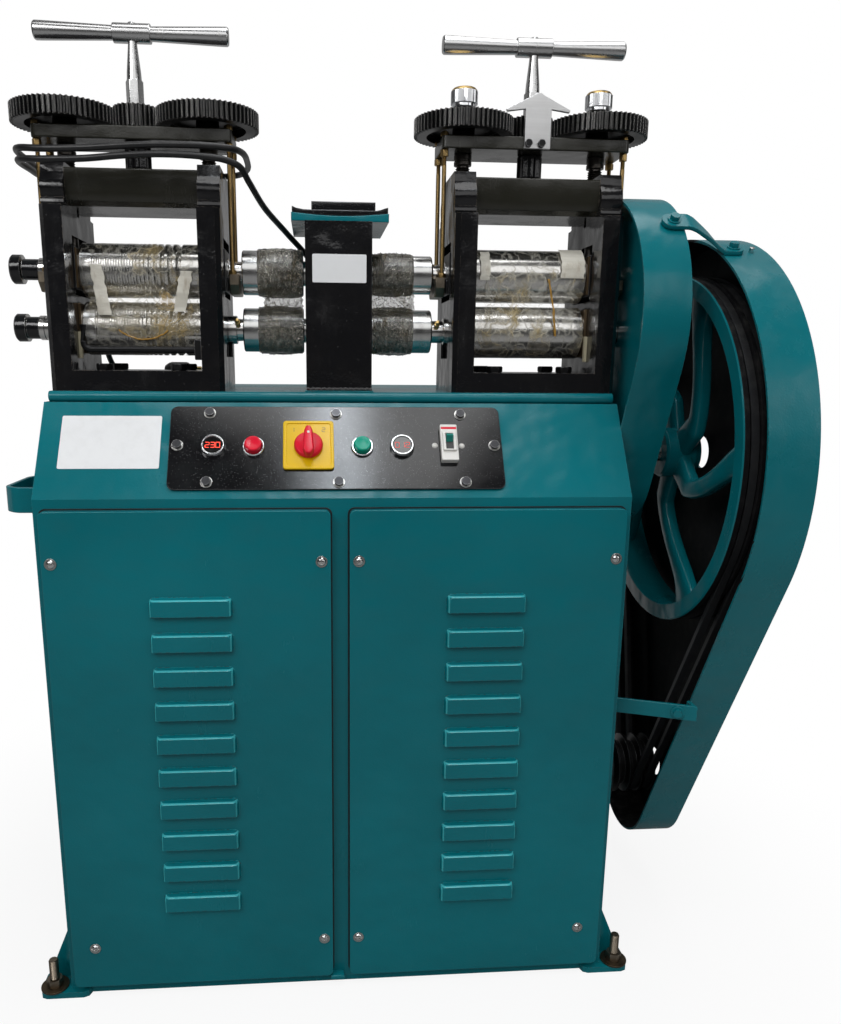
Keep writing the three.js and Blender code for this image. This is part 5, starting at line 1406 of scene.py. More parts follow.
def build_bull_pulley():
    """Rim with two V grooves, a domed hub and five spokes swept like commas."""
    at = (0, PULLEY_Y, PULLEY_Z)
    rim = [(212, 451), (231.4, 451), (233, 452.6)]
    for groove in BELT_CENTRES:
        rim += [(233, groove - 7.2), (222, groove - 4.2), (222, groove + 4.2), (233, groove + 7.2)]
    rim += [(233, 498.4), (231.4, 500), (212, 500), (209.5, 492), (209.5, 459), (212, 451)]
    made = lathe(rim, at, "X", 180, edge=0.6)
    # The rim's outer faces and grooves go near-black with belt dust.
    made.painted(lambda p: math.hypot(p.y - PULLEY_Y, p.z - PULLEY_Z) > 221 and p.x > 452.4)
    hub = [(12.6, 448), (31, 448), (34, 451), (34, 488), (30, 497), (22, 500), (12.6, 500), (12.6, 448)]
    made.add(lathe(hub, at, "X", 64, edge=1.5))
    for i in range(5):
        smooth = []
        for (r0, w0), (r1, w1) in zip(SPOKE_STATIONS, SPOKE_STATIONS[1:]):
            smooth += [(r0 + (r1 - r0) * k / 5, w0 + (w1 - w0) * k / 5) for k in range(5)]
        smooth.append(SPOKE_STATIONS[-1])
        points = []
        section = []
        for k in range(24):
            t = 2 * math.pi * k / 24
            c, s = math.cos(t), math.sin(t)
            section.append((math.copysign(abs(c) ** 0.75, c), math.copysign(abs(s) ** 0.6, s)))
        for radius, half in smooth:
            angle = spoke_angle(radius, i)
            for side, depth in section:
                y = radius * math.cos(angle) - side * half * math.sin(angle)
                z = radius * math.sin(angle) + side * half * math.cos(angle)
                points.append((474 + depth * 10, PULLEY_Y + y, PULLEY_Z + z))
        made.add(Shape(points, tube_faces(len(smooth), 24)))
    make("pulley_wheel", made, "drive_wheel", ["teal_enamel", "belt_dust_and_painted_shade"], "bull_pulley")


def build_belts():
    for place in ("inner", "outer"):
        low, high = span(f"{place}_belt")
        outer_big = high.z - PULLEY_Z
        outer_small = MOTOR_Z - low.z
        wide = high.x - low.x
        section = [
            (outer_big, -wide / 2 + 0.3), (outer_big - 0.6, -wide / 2), (outer_big - 9, -wide / 2 + 1.8),
            (outer_big - 9, wide / 2 - 1.8), (outer_big - 0.6, wide / 2), (outer_big, wide / 2 - 0.3),
        ]
        points = []
        for reach, across in section:
            inset = outer_big - reach
            line = wrap_two((PULLEY_Y, PULLEY_Z, outer_big), (MOTOR_Y, MOTOR_Z, outer_small), inset, 120)
            points += [((low.x + high.x) / 2 + across, y, z) for y, z in line]
        loop = Shape(points, tube_faces(len(section), len(line), closed=True))
        make(f"{place}_belt_loop", loop, "root", "belt_rubber", f"{place}_belt")


def build_motor():
    at = (0, MOTOR_Y, MOTOR_Z)
    dress("motor", "motor_paint")
    low = span("motor_pulley")[0]
    line = [(0, low.x), (11, low.x), (11, 436), (45, 437)]
    for groove in (447, *BELT_CENTRES):
        line += [(45, groove - 7.2), (34, groove - 4), (34, groove + 4), (45, groove + 7.2)]
    line += [(45, 494.5), (43.5, 495), (26, 495), (24, 491), (0, 491)]
    make("motor_wheel", lathe(line, at, "X", 96, edge=0.5), "motor_drive", "black_oxide", "motor_pulley")


def darken_inside(case, first, second, outside):
    """Gives a guard's inner faces the second finish, a near-black painted shade; the guard's line runs round
    two circles.
    """
    (y1, z1, r1), (y2, z2, r2) = first, second
    axis = Vector((y2 - y1, z2 - z1))
    length = axis.length
    axis.normalize()
    lean = (r1 - r2) / length
    rise = math.sqrt(1 - lean * lean)

    def is_inside(middle):
        here = Vector((middle.y - y1, middle.z - z1))
        along = here.dot(axis)
        across = math.sqrt(max(0.0, here.length_squared - along * along))
        station = along * rise - across * lean
        if station < 0:
            depth = here.length - r1
        elif station > rise * length:
            depth = math.hypot(across, along - length) - r2
        else:
            depth = across * rise + along * lean - r1
        return depth < -2.0 and middle.x < outside

    case.painted(is_inside)


def build_guards():
    def gear_line(inset):
        return wrap_two((-53.4, 859, 150 - inset), (PULLEY_Y, PULLEY_Z, 90 - inset), steps=90)

    def belt_case_line(inset):
        return wrap_two(
            (*GUARD_TOP[:2], GUARD_TOP[2] - inset), (*GUARD_FOOT[:2], GUARD_FOOT[2] - inset), steps=120,
        )

    cuts = [
        prism(gear_line(3), 371, 404, facing="X"), prism(gear_line(3), 340, 368, facing="X"),
        prism(ring(HEAD_Y, LOWER_Z, 18.5), 360, 380, facing="X"),
        prism(ring(PULLEY_Y, PULLEY_Z, 14), 360, 420, facing="X"),
        block(340, 364, HEAD_Y - 36, HEAD_Y + 36, 980, 1020, edge=0.01),
    ]
    drum = carved(prism(gear_line(0), 350, 407, facing="X"), cuts, edge=1.1)
    make("gear_case", drum, "root", "teal_enamel", "gear_guard")
    cuts = [prism(belt_case_line(3), 440, 510.5, facing="X")]
    for y, z in ((PULLEY_Y, PULLEY_Z), (MOTOR_Y, MOTOR_Z)):
        cuts.append(prism(ring(y, z, 22), 500, 520, facing="X"))
    case = carved(prism(belt_case_line(0), 455, 513.5, facing="X"), cuts, edge=1.3)
    # The guard's inner faces go near-black: painted shade.
    darken_inside(case, GUARD_TOP, GUARD_FOOT, 512)
    make("belt_case", case, "root", ["guard_enamel", "belt_dust_and_painted_shade"], "belt_guard")


def build_straps():
    stations = [
        (380, -160.2, 966.2, 45), (412, -160.2, 966.2, 45), (420, -160.1, 963.0, 42.5),
        (428, -160.1, 957.5, 38.8), (436, -160, 952, 35), (443, -159.9, 946.6, 32),
        (449, -159.7, 940.9, 28.9), (456, -159.6, 935.5, 25.9), (482, -159.6, 935.5, 25.9),
    ]

    def at(x):
        for (x0, *a), (x1, *b) in zip(stations, stations[1:]):
            if x <= x1:
                t = (x - x0) / (x1 - x0)
                return [u + (v - u) * t for u, v in zip(a, b)]
        return stations[-1][1:]

    section = [(-1, 0.2), (-0.95, 0), (0.95, 0), (1, 0.2), (1, 0.8), (0.95, 1), (-0.95, 1), (-1, 0.8)]
    points = []
    places = [380 + 12 * (1 - math.cos(math.pi * k / 16)) for k in range(9)]
    places += [395 + (467 - 395) * k / 20 for k in range(21)]
    places += [482 - 12 * (1 - math.cos(math.pi * k / 16)) for k in range(8, -1, -1)]
    for x in places:
        y, z, lean = at(x)
        end = max(0.0, 12 - (x - 380), 12 - (482 - x))
        half = max(0.6, math.sqrt(max(0.0, 144 - end**2)))
        c, s = math.cos(math.radians(lean)), math.sin(math.radians(lean))
        for u, t in section:
            points.append((x, y + u * half * c - t * 5 * s, z + u * half * s + t * 5 * c))
    count = len(section)
    tie = Shape(points, [*tube_faces(len(places), count), *end_faces(len(places), count)])
    make("upper_tie", tie, "root", "teal_enamel", "upper_strap")
    bolts, washers = Shape(), Shape()
    for x in (394, 470):
        y, z, lean = at(x)
        turn = (
            Matrix.Translation((x, y, z)) @ Matrix.Rotation(math.radians(lean), 4, "X")
            @ Matrix.Translation((0, 0, 5.05))
        )
        bolts.add(bolt(10, 5.0).moved(z=1.6).placed(turn))
        washers.add(washer(3, 7.6, 0, 1.6).placed(turn))
    line = [
        (350.2, -138), (350.2, -171), (352.5, -172.5), (410, -194.6), (450, -210.5), (455, -212),
        (455, -190.5), (450, -190.5), (450, -204.8), (408, -189), (355, -168.8), (355, -138),
    ]
    rail = plate([(x, y) for x, y in line], 358, 378, edge=1.0)
    make("lower_tie", rail, "root", "teal_enamel", "lower_strap")
    turn = (
        Matrix.Translation((433, -204.6, 368)) @ Matrix.Rotation(math.radians(-21), 4, "Z")
        @ Matrix.Rotation(math.pi / 2, 4, "X")
    )
    bolts.add(bolt(10, 5).moved(z=1.6).placed(turn))
    washers.add(washer(3, 8.4, 0, 1.6).placed(turn))
    make("strap_bolts", bolts, "root", "teal_enamel")
    make("strap_washers", washers, "root", "teal_enamel")
    y, z, lean = at(475)
    stand = Matrix.Translation((493, y, z)) @ Matrix.Rotation(math.radians(lean), 4, "X")
    make("guard_stud", rod(3, -0.5, 6, edge=0.8).placed(stand), "root", "bright_screw")


def build_rest_and_pointer():
    line = soften(
        [Vector(p) for p in ((-303, -120, 845.5), (-303, -120, 817), (-166, -120, 817))], 9, steps=8,
    )
    made = sweep([tuple(p) for p in line], ring(0, 0, 4, 20))
    made.add(block(-171.4, -163.7, -128, -110, 805, 829, edge=1.2))
    make("rest_bar", made, "root", "black_oxide", "work_rest")
    half = [(16, 1058.3), (16, 1102.5), (38, 1099.5), (39, 1102), (6, 1118), (2.5, 1120.5)]
    outline = [(244 + x, z) for x, z in half] + [(244 - x, z) for x, z in half[::-1]]
    make(
        "pointer_plate", plate(outline, -95.4, -90.6, edge=0.5, facing="Y"), "right_lift",
        "brushed_steel", "arrow_pointer",
    )
    pins = Shape()
    for x in (233, 249):
        stand = Matrix.Translation((x, -95.5, 1064.2)) @ Matrix.Rotation(math.pi / 2, 4, "X")
        pins.add(bolt(8.4, 4).placed(stand))
    make("pointer_bolts", pins, "right_lift", "black_oxide")


# Wrapping


def wrap(centre, start, end, y, z, radius, bulge, seed, ends=1.0, crush=0.0, gap=0.5, most=9.0):
    """Stretch film drawn round a bar: loose in the middle, gathered at its ends, wrinkled all over."""
    along, around = 56, 112
    points = []
    for i in range(along + 1):
        t = i / along
        x = centre + start + (end - start) * t
        loose = bulge * (math.sin(math.pi * t) ** 0.6 * ends + (1 - ends))
        for k in range(around):
            angle = 2 * math.pi * k / around
            place = Vector((t * 5.0, math.cos(angle) * 2.2 + seed, math.sin(angle) * 2.2))
            ridge = 1 - abs(noise.noise(place * 1.6))
            fine = noise.noise(place * 5.0 + Vector((0, 0, seed)))
            reach = radius + gap + loose * (0.35 + 0.65 * ridge**3) + fine * min(loose, 1.2) * 0.5
            reach += crush * noise.noise(place * 13 + Vector((seed, 0, 0)))
            reach = min(max(radius + 0.7 * gap, reach), radius + most)
            points.append((x, y + reach * math.cos(angle), z + reach * math.sin(angle)))
    return Shape(points, tube_faces(along + 1, around))


def sheet(across, along, place):
    """A thin sheet from a grid of points, each given by place(u, v) with both shares from 0 to 1."""
    points = [place(j / across, i / along) for i in range(along + 1) for j in range(across + 1)]
    size = across + 1
    faces = [
        (a, a + 1, a + size + 1, a + size)
        for i in range(along)
        for a in range(i * size, i * size + across)
    ]
    return Shape(points, faces)


def tape_strip(x, width, start, end, z, radius, seed):
    """A strip of tape that lies on a roll from one angle to another, with crumpled edges."""
    def place(u, v):
        angle = math.radians(start + (end - start) * v)
        s = 2 * u - 1
        spot = Vector((s * 1.3, v * 8.8, seed))
        drift = noise.noise(Vector((v * 4.8, seed, 0))) * 2.0
        reach = radius + 0.9 + 0.7 * abs(noise.noise(spot)) + 0.5 * abs(s) ** 3 * abs(noise.noise(spot * 2.3))
        return (x + drift + s * width / 2, HEAD_Y + reach * math.cos(angle), z + reach * math.sin(angle))

    return sheet(8, 40, place)


def roll_front(z):
    """How far in front of the rolls' axes a sheet drawn over both of them stands at a height."""
    away = min(ROLL_RADIUS, max(0.0, z - UPPER_Z, LOWER_Z - z))
    return math.sqrt(ROLL_RADIUS**2 - away**2)


def along_line(stops, share):
    """Height on a line of (share, height) stops."""
    for (u0, z0), (u1, z1) in zip(stops, stops[1:]):
        if share <= u1:
            return z0 + (z1 - z0) * (share - u0) / (u1 - u0)
    return stops[-1][1]


def bridge(x0, x1, top, foot, dip, seed):
    """Film drawn over the fronts of both rolls, slack between them; top and foot are its edge lines."""
    def place(u, v):
        high, low = along_line(top, u), along_line(foot, u)
        z = high + (low - high) * v + 1.5 * noise.noise(Vector((u * 11, seed, v)))
        share = (UPPER_Z - 6 - z) / (UPPER_Z - 6 - LOWER_Z)
        slack = dip * math.sin(math.pi * share) if 0 < share < 1 else 0.0
        crease = noise.noise(Vector((u * 16, v * 9, seed)))
        stand = roll_front(z) + 1.4 - slack * (0.55 + 0.45 * crease) + 0.5 * crease
        return (x0 + (x1 - x0) * u + 1.5 * crease, HEAD_Y - stand, z)

    return sheet(90, 46, place)


def hanging(top, foot, width, seed):
    """A strip that hangs from the upper roll's front to the lower roll's; its ends are (x, z)."""
    def place(u, v):
        z = top[1] + (foot[1] - top[1]) * v
        twist = noise.noise(Vector((v * 5, seed, u)))
        half = width / 2 * (1 + 0.35 * noise.noise(Vector((v * 7, seed, 4))))
        x = top[0] + (foot[0] - top[0]) * v + (2 * u - 1) * half
        return (x, HEAD_Y - roll_front(z) - 2.6 - 1.2 * twist, z)

    return sheet(6, 30, place)


def web(x0, x1, top, foot, seed):
    """Crumpled film drawn between the two coupling sleeves."""
    def place(u, v):
        spot = Vector((u * 9, v * 6, seed))
        crush = noise.noise(spot) + 0.6 * noise.noise(spot * 2.7)
        waist = 3 * math.sin(math.pi * v)
        return (x0 + (x1 - x0) * u + 2 * crush, HEAD_Y - 20 + waist - 4 * crush, top + (foot - top) * v)

    return sheet(60, 30, place)


def build_wrapping():
    left, right = HEADS["left"], HEADS["right"]
    for name, centre, upper_body in (("left", left, "left_top_roll"), ("right", right, "right_top_roll")):
        top = wrap(centre, -70, 71, HEAD_Y, UPPER_Z, ROLL_RADIUS, 0.16, 3.1 + centre, 0.6, gap=0.1, most=0.26)
        low = wrap(centre, -70, 71, HEAD_Y, LOWER_Z, ROLL_RADIUS, 0.16, 7.7 + centre, 0.6, gap=0.1, most=0.26)
        make(f"{name}_upper_roll_film", top, upper_body, "clear_film")
        make(f"{name}_lower_roll_film", low, "lower_line", "clear_film")
    for name, z, body, seed in (("upper", UPPER_Z, "upper_line", 1.3), ("lower", LOWER_Z, "lower_line", 5.2)):
        for place, start, end in (("left", -98, -42), ("right", 46, 98)):
            slim = name == "upper" and place == "right"
            film = wrap(0, start, end, HEAD_Y, z, 23.5 if slim else 27.0, 3.0, seed + start, crush=2.2)
            make(f"{name}_{place}_sleeve_film", film, body, "crinkled_film")
    webs = web(44, 99, 894, 864, 2.2).add(web(-90, -42, 890, 866, 6.1))
    make("sleeve_webs", webs, "root", "crinkled_film")
    top = [(0.0, 893), (0.42, 893), (0.56, 899), (0.76, 882), (1.0, 879)]
    foot = [(0.0, 848), (0.25, 835), (0.5, 829), (0.75, 830), (1.0, 837)]
    make("left_bridging_film", bridge(-302, -170, top, foot, 5.0, 2.0), "root", "oily_film")
    top, foot = [(0.0, 914), (0.3, 918), (1.0, 916)], [(0.0, 842), (0.6, 834), (1.0, 846)]
    make("right_bridging_film", bridge(188, 303, top, foot, 4.0, 5.0), "root", "clear_film")
    strips = hanging((-291, 917), (-283, 858), 15, 2.0)
    strips.add(hanging((-183, 911), (-193, 863), 15, 9.0))
    make("hanging_tape", strips, "root", "masking_tape")
    tapes = tape_strip(187, 12, 128, 192, UPPER_Z, ROLL_RADIUS + 2.0, 4.0)
    tapes.add(tape_strip(299, 30, 112, 186, UPPER_Z, ROLL_RADIUS + 2.0, 6.0))
    make("right_roll_tape", tapes, "right_lift", "masking_tape")
    streaks = hanging((268, 908), (277, 866), 2.2, 5.0)
    streaks.add(hanging((276, 868), (280, 838), 2.6, 3.0))
    make("oil_streaks", streaks, "root", "grease")
    line = []
    for i in range(61):
        z = 829.5 + 0.012 * (i - 30) ** 2 + 0.8 * noise.noise(Vector((i * 0.25, 1.7, 0)))
        line.append((left - 28 + i, HEAD_Y - roll_front(z) - 1.6, z))
    make("oil_line", sweep(line, ring(0, 0, 0.9, 6)), "root", "grease")


# Mains lead

CORD_RADIUS = 3.75
CORD_STOPS = [
    (2, 60, 779), (2, 60, 800), (0, 55, 830), (-6, 46, 870), (-16, 38, 905), (-34, 30, 940),
    (-62, 0, 968), (-88, -60, 990), (-103, -110, 1010), (-112, -134, 1022), (-128, -143, 1027),
    (-160, -145, 1030), (-200, -144, 1031), (-240, -143, 1029), (-285, -141, 1025), (-330, -138, 1024),
    (-357, -126, 1026), (-369, -98, 1029), (-371, -54, 1030), (-368, -8, 1030), (-352, 14, 1032),
    (-320, 22, 1034), (-240, 24, 1038), (-160, 22, 1040), (-126, 12, 1041), (-112, -14, 1042),
    (-108, -60, 1043), (-111, -112, 1042), (-122, -134, 1041), (-150, -144, 1041), (-200, -144, 1041),
    (-240, -143, 1039), (-285, -141, 1036), (-330, -138, 1035), (-358, -125, 1038), (-371, -96, 1041),
    (-374, -54, 1041), (-372, 0, 1038), (-362, 26, 1028), (-345, 38, 1000), (-330, 44, 950),
    (-322, 50, 880), (-318, 58, 820), (-310, 72, 792), (-298, 88, 785), (-282, 92, 785), (-270, 92, 785),
    (-262, 92, 785),
]


def smooth_route(stops, steps):
    """Centripetal Catmull-Rom curve through every stop."""
    stops = [Vector(p) for p in stops]
    ends = [stops[0] * 2 - stops[1], *stops, stops[-1] * 2 - stops[-2]]
    points = []
    for a, b, c, d in zip(ends, ends[1:], ends[2:], ends[3:]):
        knots = [0.0]
        for p, q in ((a, b), (b, c), (c, d)):
            knots.append(knots[-1] + max((q - p).length, 1e-4) ** 0.5)
        k0, k1, k2, k3 = knots
        for i in range(steps):
            t = k1 + (k2 - k1) * i / steps
            first = a.lerp(b, (t - k0) / (k1 - k0))
            second = b.lerp(c, (t - k1) / (k2 - k1))
            third = c.lerp(d, (t - k2) / (k3 - k2))
            fourth = first.lerp(second, (t - k0) / (k2 - k0))
            fifth = second.lerp(third, (t - k1) / (k3 - k1))
            points.append(fourth.lerp(fifth, (t - k1) / (k2 - k1)))
    return [*points, stops[-1]]


def build_cord():
    route = smooth_route(CORD_STOPS, 10)
    curve = bpy.data.curves.new("mains_lead", "CURVE")
    curve.dimensions = "3D"
    curve.bevel_depth = CORD_RADIUS * MM
    curve.bevel_resolution = 5
    curve.use_fill_caps = True
    spline = curve.splines.new("POLY")
    spline.points.add(len(route) - 1)
    spline.points.foreach_set("co", [v for p in route for v in (*(p * MM), 1.0)])
    lead = bpy.data.objects.new("mains_lead", curve)
    bpy.context.scene.collection.objects.link(lead)
    curve.materials.append(bpy.data.materials["cord_rubber"])
    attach(lead, "root")
    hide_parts("power_cord")
    length = sum((b - a).length for a, b in zip(route, route[1:])) * MM
    x, y = CORD_STOPS[0][:2]
    relief = [
        (11, 768.05), (11, 771.4), (10, 772.4), (8, 773), (7.4, 774.2), (7.6, 775.4), (6.6, 776.2),
        (6.8, 777.4), (6, 778.6), (0, 778.7),
    ]
    gland = lathe([(0, 768.05), *relief], (x, y, 0), edge=0.4)
    gland = make("lead_gland", gland, "root", "cord_rubber", "cord_gland")
    start = CORD_STOPS[-1][0] + 0.3
    case = [
        (0, start + 18), (12, start + 18), (16, start + 24), (17, start + 28), (17, start + 48),
        (16, start + 52), (0, start + 52),
    ]
    body = lathe(case, (0, 92, 785), "X", 48, edge=1.6)
    relief = [
        (0, start), (4.4, start), (4.8, start + 4), (4.5, start + 5), (5.1, start + 9),
        (4.8, start + 10), (5.5, start + 15), (5.2, start + 16), (6, start + 19), (0, start + 24),
    ]
    body.add(lathe(relief, (0, 92, 785), "X", 32, edge=0.3))
    plug = make("lead_plug", body, "root", "cord_rubber", "cord_plug")
    pins = Shape()
    for dy, dz in ((0, 8), (-11, -6), (11, -6)):
        pins.add(rod(3, start + 51, start + 70, (0, 92 + dy, 785 + dz), "X", 20, 1.2))
    prongs = make("plug_pins", pins, "root", "turned_brass")


# Camera and stage


def build_camera():
    lens = bpy.data.cameras.new("photo_view")
    lens.lens = 29.87
    lens.sensor_width = 36.0
    lens.sensor_fit = "AUTO"
    lens.shift_x = 0.0382
    lens.shift_y = 0.0395
    camera = bpy.data.objects.new("photo_view", lens)
    right = Vector((0.99699, -0.07718, 0.00757))
    up = Vector((0.00959, 0.21960, 0.97554))
    back = -Vector((0.07695, 0.97253, -0.21967))
    place = Matrix((right, up, back)).transposed().to_4x4()
    camera.matrix_world = Matrix.Translation((-0.0286, -1.1915, 0.8054)) @ place
    bpy.context.scene.collection.objects.link(camera)
    bpy.context.scene.camera = camera


def soft_lamp(name, place, aim, size, power, colour=(1.0, 1.0, 1.0)):
    lamp = bpy.data.lights.new(name, "AREA")
    lamp.shape = "RECTANGLE"
    lamp.size, lamp.size_y = size
    lamp.energy = power
    lamp.color = colour
    carrier = bpy.data.objects.new(name, lamp)
    carrier.location = place
    carrier.rotation_euler = (Vector(aim) - Vector(place)).to_track_quat("-Z", "Y").to_euler()
    bpy.context.scene.collection.objects.link(carrier)


def build_stage(looks):
    size = 6.0
    mesh = bpy.data.meshes.new("studio_floor")
    mesh.from_pydata(
        [(-size, -size, 0), (size, -size, 0), (size, size, 0), (-size, size, 0)], [], [(0, 1, 2, 3)],
    )
    floor = bpy.data.objects.new("studio_floor", mesh)
    bpy.context.scene.collection.objects.link(floor)
    material, tree, shader = start_material("studio_floor", Roughness=0.9, Specular_IOR_Level=0.1)
    shader.inputs["Base Color"].default_value = (0.86, 0.86, 0.86, 1.0)
    place = add_node(tree, "ShaderNodeTexCoord").outputs["Object"]
    reach = add_node(tree, "ShaderNodeVectorMath", {0: place}, operation="LENGTH").outputs["Value"]
    path = add_node(tree, "ShaderNodeLightPath")
    depth = add_node(tree, "ShaderNodeSeparateXYZ", {0: place}).outputs["Y"]
    rear = calc(tree, "MULTIPLY", path.outputs["Is Glossy Ray"], ramp(tree, depth, 0.3, 1.2, 0.0, 0.3))
    camera_share = calc(
        tree, "MULTIPLY", path.outputs["Is Camera Ray"], ramp(tree, reach, 0.45, 1.0, 0.88, 1.0),
    )
    share = calc(tree, "MAXIMUM", camera_share, rear)
    white = add_node(tree, "ShaderNodeEmission", {"Color": (1, 1, 1, 1), "Strength": 1.0}).outputs[0]
    grey = add_node(tree, "ShaderNodeBsdfDiffuse", {"Color": (0.3, 0.3, 0.3, 1)}).outputs[0]
    lit = add_node(
        tree, "ShaderNodeMixShader", {0: path.outputs["Is Camera Ray"], 1: grey, 2: shader.outputs[0]},
    ).outputs[0]
    mixed = add_node(tree, "ShaderNodeMixShader", {0: share, 1: lit, 2: white}).outputs[0]
    tree.links.new(mixed, tree.nodes["Material Output"].inputs["Surface"])
    mesh.materials.append(material)
    world = bpy.data.worlds.new("white_studio")
    bpy.context.scene.world = world
    world.use_nodes = True
    tree = world.node_tree
    tree.nodes.clear()
    way = add_node(tree, "ShaderNodeTexCoord").outputs["Generated"]
    behind = add_node(tree, "ShaderNodeSeparateXYZ", {0: way})
    backdrop = ramp(tree, behind.outputs["Y"], 0.05, 0.5, looks.room_level, 0.3)
    path = add_node(tree, "ShaderNodeLightPath")
    mirrored = calc(tree, "MAXIMUM", path.outputs["Is Glossy Ray"], path.outputs["Is Transmission Ray"])
    level = add_node(
        tree, "ShaderNodeMix", {0: mirrored, 2: looks.fill_level, 3: backdrop}, data_type="FLOAT",
    ).outputs[0]
    strength = calc(tree, "MAXIMUM", level, path.outputs["Is Camera Ray"])
    shine = add_node(tree, "ShaderNodeBackground", {"Color": (1, 1, 1, 1), "Strength": strength}).outputs[0]
    out = tree.nodes.new("ShaderNodeOutputWorld")
    tree.links.new(shine, out.inputs["Surface"])
    soft_lamp("key_window", (-1.6, -2.1, 2.4), (0, -0.1, 0.7), (1.4, 1.0), looks.key_power * 0.8)
    soft_lamp("fill_window", (2.3, -1.9, 1.6), (0.1, 0, 0.6), (1.0, 1.6), looks.key_power * 0.25)
    soft_lamp("front_window", (0.1, -2.6, 2.35), (0, -0.05, 0.88), (3.2, 1.5), looks.key_power * 0.62)
    soft_lamp("panel_light", (0.06, -1.17, 2.75), (0.0, -0.17, 0.7), (0.2, 0.8), 5.6, (0.86, 0.93, 1.0))
    soft_lamp("ceiling", (0.3, -0.2, 3.1), (0.1, -0.1, 0.9), (2.4, 1.6), looks.key_power * 1.15)
    bpy.context.scene.view_settings.view_transform = "Standard"


# Add-on: settings, one operator for each group of pieces, and the panel that lists them


class MillSizes(bpy.types.PropertyGroup):
    """Sizes that a user would change."""

    louvre_rise: FloatProperty(
        name="Louvre rise", description="How far a louvre's hood stands out of its door, in millimetres",
        default=8.0, min=2.0, max=12.0,
    )
    height: FloatProperty(
        name="Height", description="Overall height of the packed frame", default=CAD_BOX[1][2],
        unit="LENGTH",
    )


class MillLooks(bpy.types.PropertyGroup):
    """Colours and light that a user would change."""

    teal: FloatVectorProperty(
        name="Enamel", description="Colour of the painted castings and sheet", subtype="COLOR",
        default=(0.0009, 0.142, 0.17),
    )
    black: FloatVectorProperty(
        name="Black enamel", description="Colour of the control plate and the lid", subtype="COLOR",
        default=(0.006, 0.006, 0.007),
    )
    yellow: FloatVectorProperty(
        name="Yellow", description="Colour of the switch plate", subtype="COLOR",
        default=(0.72, 0.46, 0.002),
    )
    red: FloatVectorProperty(
        name="Red", description="Colour of the knob and the stop button", subtype="COLOR",
        default=(0.68, 0.012, 0.035),
    )
    key_power: FloatProperty(
        name="Key light", description="Power of the large window light", default=30.0, min=0.0,
        unit="POWER",
    )
    fill_level: FloatProperty(
        name="Fill light", description="Strength of the even light from all round", default=0.28,
        min=0.0,
    )
    room_level: FloatProperty(
        name="Room brightness", description="How bright the room behind the camera is in reflections",
        default=0.05, min=0.0,
    )


class MILL_OT_camera(bpy.types.Operator):
    """Sets the camera at the photograph's viewing angle."""

    bl_idname = "mill.camera"
    bl_label = "Camera"

    def execute(self, context):
        build_camera()
        return {"FINISHED"}


class MILL_OT_finishes(bpy.types.Operator):
    """Makes every paint, metal, rubber and plastic of the mill."""

    bl_idname = "mill.finishes"
    bl_label = "Finishes"

    def execute(self, context):
        make_finishes(context.scene.mill_looks)
        return {"FINISHED"}


class MILL_OT_lead(bpy.types.Operator):
    """Winds the mains lead round the left head, with its gland and plug."""

    bl_idname = "mill.lead"
    bl_label = "Mains lead"

    def execute(self, context):
        build_cord()
        return {"FINISHED"}


class MILL_OT_cabinet(bpy.types.Operator):
    """Builds the cabinet's walls, table, feet and side handle."""

    bl_idname = "mill.cabinet"
    bl_label = "Cabinet"

    def execute(self, context):
        build_cabinet()
        build_side_handle()
        return {"FINISHED"}


class MILL_OT_doors(bpy.types.Operator):
    """Builds the two louvred doors and their screws."""

    bl_idname = "mill.doors"
    bl_label = "Doors"

    def execute(self, context):
        build_doors(context.scene.mill_sizes)
        return {"FINISHED"}


class MILL_OT_controls(bpy.types.Operator):
    """Builds the control plate with its meters, buttons, selector and breaker."""

    bl_idname = "mill.controls"
    bl_label = "Controls"

    def execute(self, context):
        build_controls()
        return {"FINISHED"}


class MILL_OT_column(bpy.types.Operator):
    """Builds the gear column with its cap and lid, and the couplings on both sides of it."""

    bl_idname = "mill.column"
    bl_label = "Column and couplings"

    def execute(self, context):
        build_column()
        build_couplings()
        build_nipples()
        return {"FINISHED"}


class MILL_OT_heads(bpy.types.Operator):
    """Builds both roll heads: castings, hangers, lift plates, screws, gears and handles."""

    bl_idname = "mill.heads"
    bl_label = "Roll heads"

    def execute(self, context):
        for name, centre in HEADS.items():
            build_head(name, centre)
            for side in SIDES:
                place = "inner" if (side > 0) == (name == "left") else "outer"
                build_hanger(name, side, centre, place)
            build_lift(name, centre)
            build_screws(name, centre)
            build_top_handle(name, centre)
        build_rest_and_pointer()
        return {"FINISHED"}


class MILL_OT_rolls(bpy.types.Operator):
    """Turns the four rolls, grooved in the left head and plain in the right one."""

    bl_idname = "mill.rolls"
    bl_label = "Rolls"

    def execute(self, context):
        for name, centre in HEADS.items():
            build_rolls(name, centre)
        return {"FINISHED"}


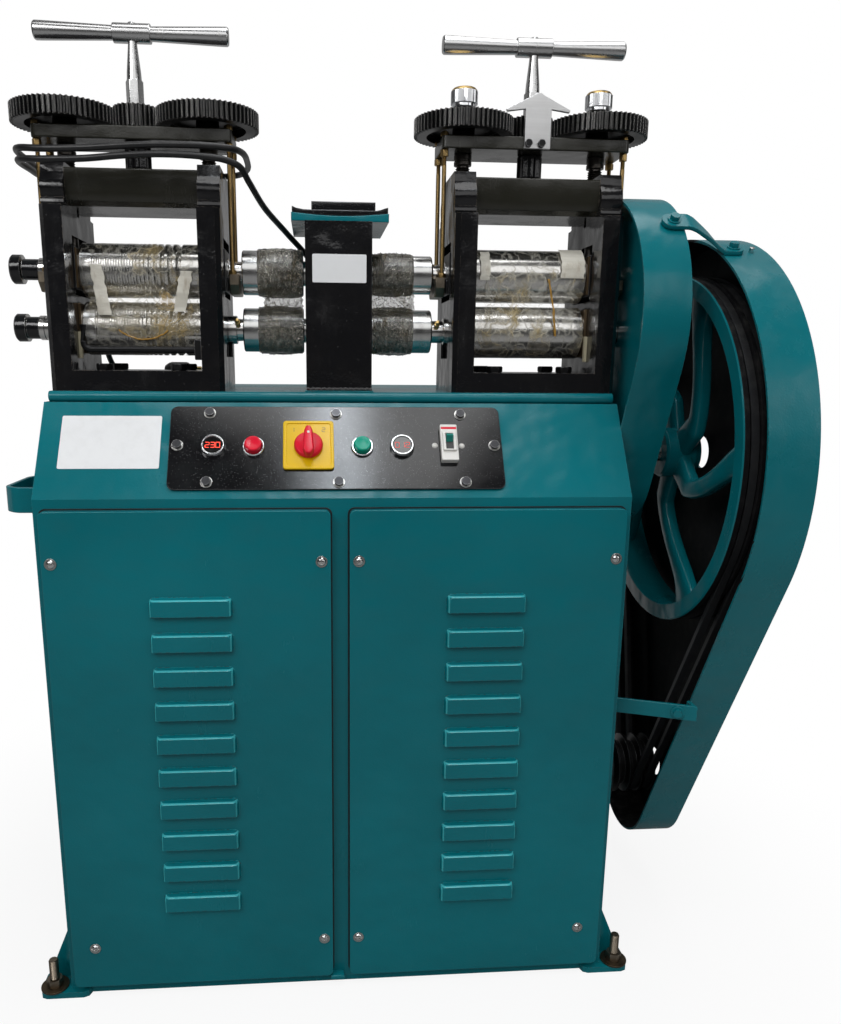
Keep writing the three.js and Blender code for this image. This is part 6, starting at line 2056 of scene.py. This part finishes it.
class MILL_OT_drive(bpy.types.Operator):
    """Builds the motor, belts, pulleys, drive gears and their guards."""

    bl_idname = "mill.drive"
    bl_label = "Drive"

    def execute(self, context):
        build_drive()
        build_bull_pulley()
        build_belts()
        build_motor()
        build_guards()
        build_straps()
        return {"FINISHED"}


class MILL_OT_wrapping(bpy.types.Operator):
    """Wraps rolls and couplings in stretch film and tape."""

    bl_idname = "mill.wrapping"
    bl_label = "Wrapping"

    def execute(self, context):
        build_wrapping()
        return {"FINISHED"}


class MILL_OT_stage(bpy.types.Operator):
    """Sets the pale floor, the soft lamps and the white surroundings."""

    bl_idname = "mill.stage"
    bl_label = "Stage"

    def execute(self, context):
        build_stage(context.scene.mill_looks)
        return {"FINISHED"}


STEPS = (
    MILL_OT_camera, MILL_OT_finishes, MILL_OT_lead, MILL_OT_cabinet, MILL_OT_doors, MILL_OT_controls,
    MILL_OT_column, MILL_OT_heads, MILL_OT_rolls, MILL_OT_drive, MILL_OT_wrapping, MILL_OT_stage,
)


class MILL_PT_panel(bpy.types.Panel):
    """Sidebar panel of the rolling mill."""

    bl_idname = "MILL_PT_panel"
    bl_label = "Rolling mill"
    bl_space_type = "VIEW_3D"
    bl_region_type = "UI"
    bl_category = "Rolling mill"

    def draw(self, context):
        for group in (context.scene.mill_sizes, context.scene.mill_looks):
            for key in group.bl_rna.properties.keys():
                if key not in ("rna_type", "name"):
                    self.layout.prop(group, key)
        for step in STEPS:
            self.layout.operator(step.bl_idname)


CLASSES = (MillSizes, MillLooks, *STEPS, MILL_PT_panel)


def register():
    for item in CLASSES:
        bpy.utils.register_class(item)
    bpy.types.Scene.mill_sizes = PointerProperty(type=MillSizes)
    bpy.types.Scene.mill_looks = PointerProperty(type=MillLooks)


def unregister():
    del bpy.types.Scene.mill_looks
    del bpy.types.Scene.mill_sizes
    for item in reversed(CLASSES):
        bpy.utils.unregister_class(item)


def main():
    register()
    for step in STEPS:
        group, name = step.bl_idname.split(".")
        getattr(getattr(bpy.ops, group), name)()


if __name__ == "__main__":
    main()
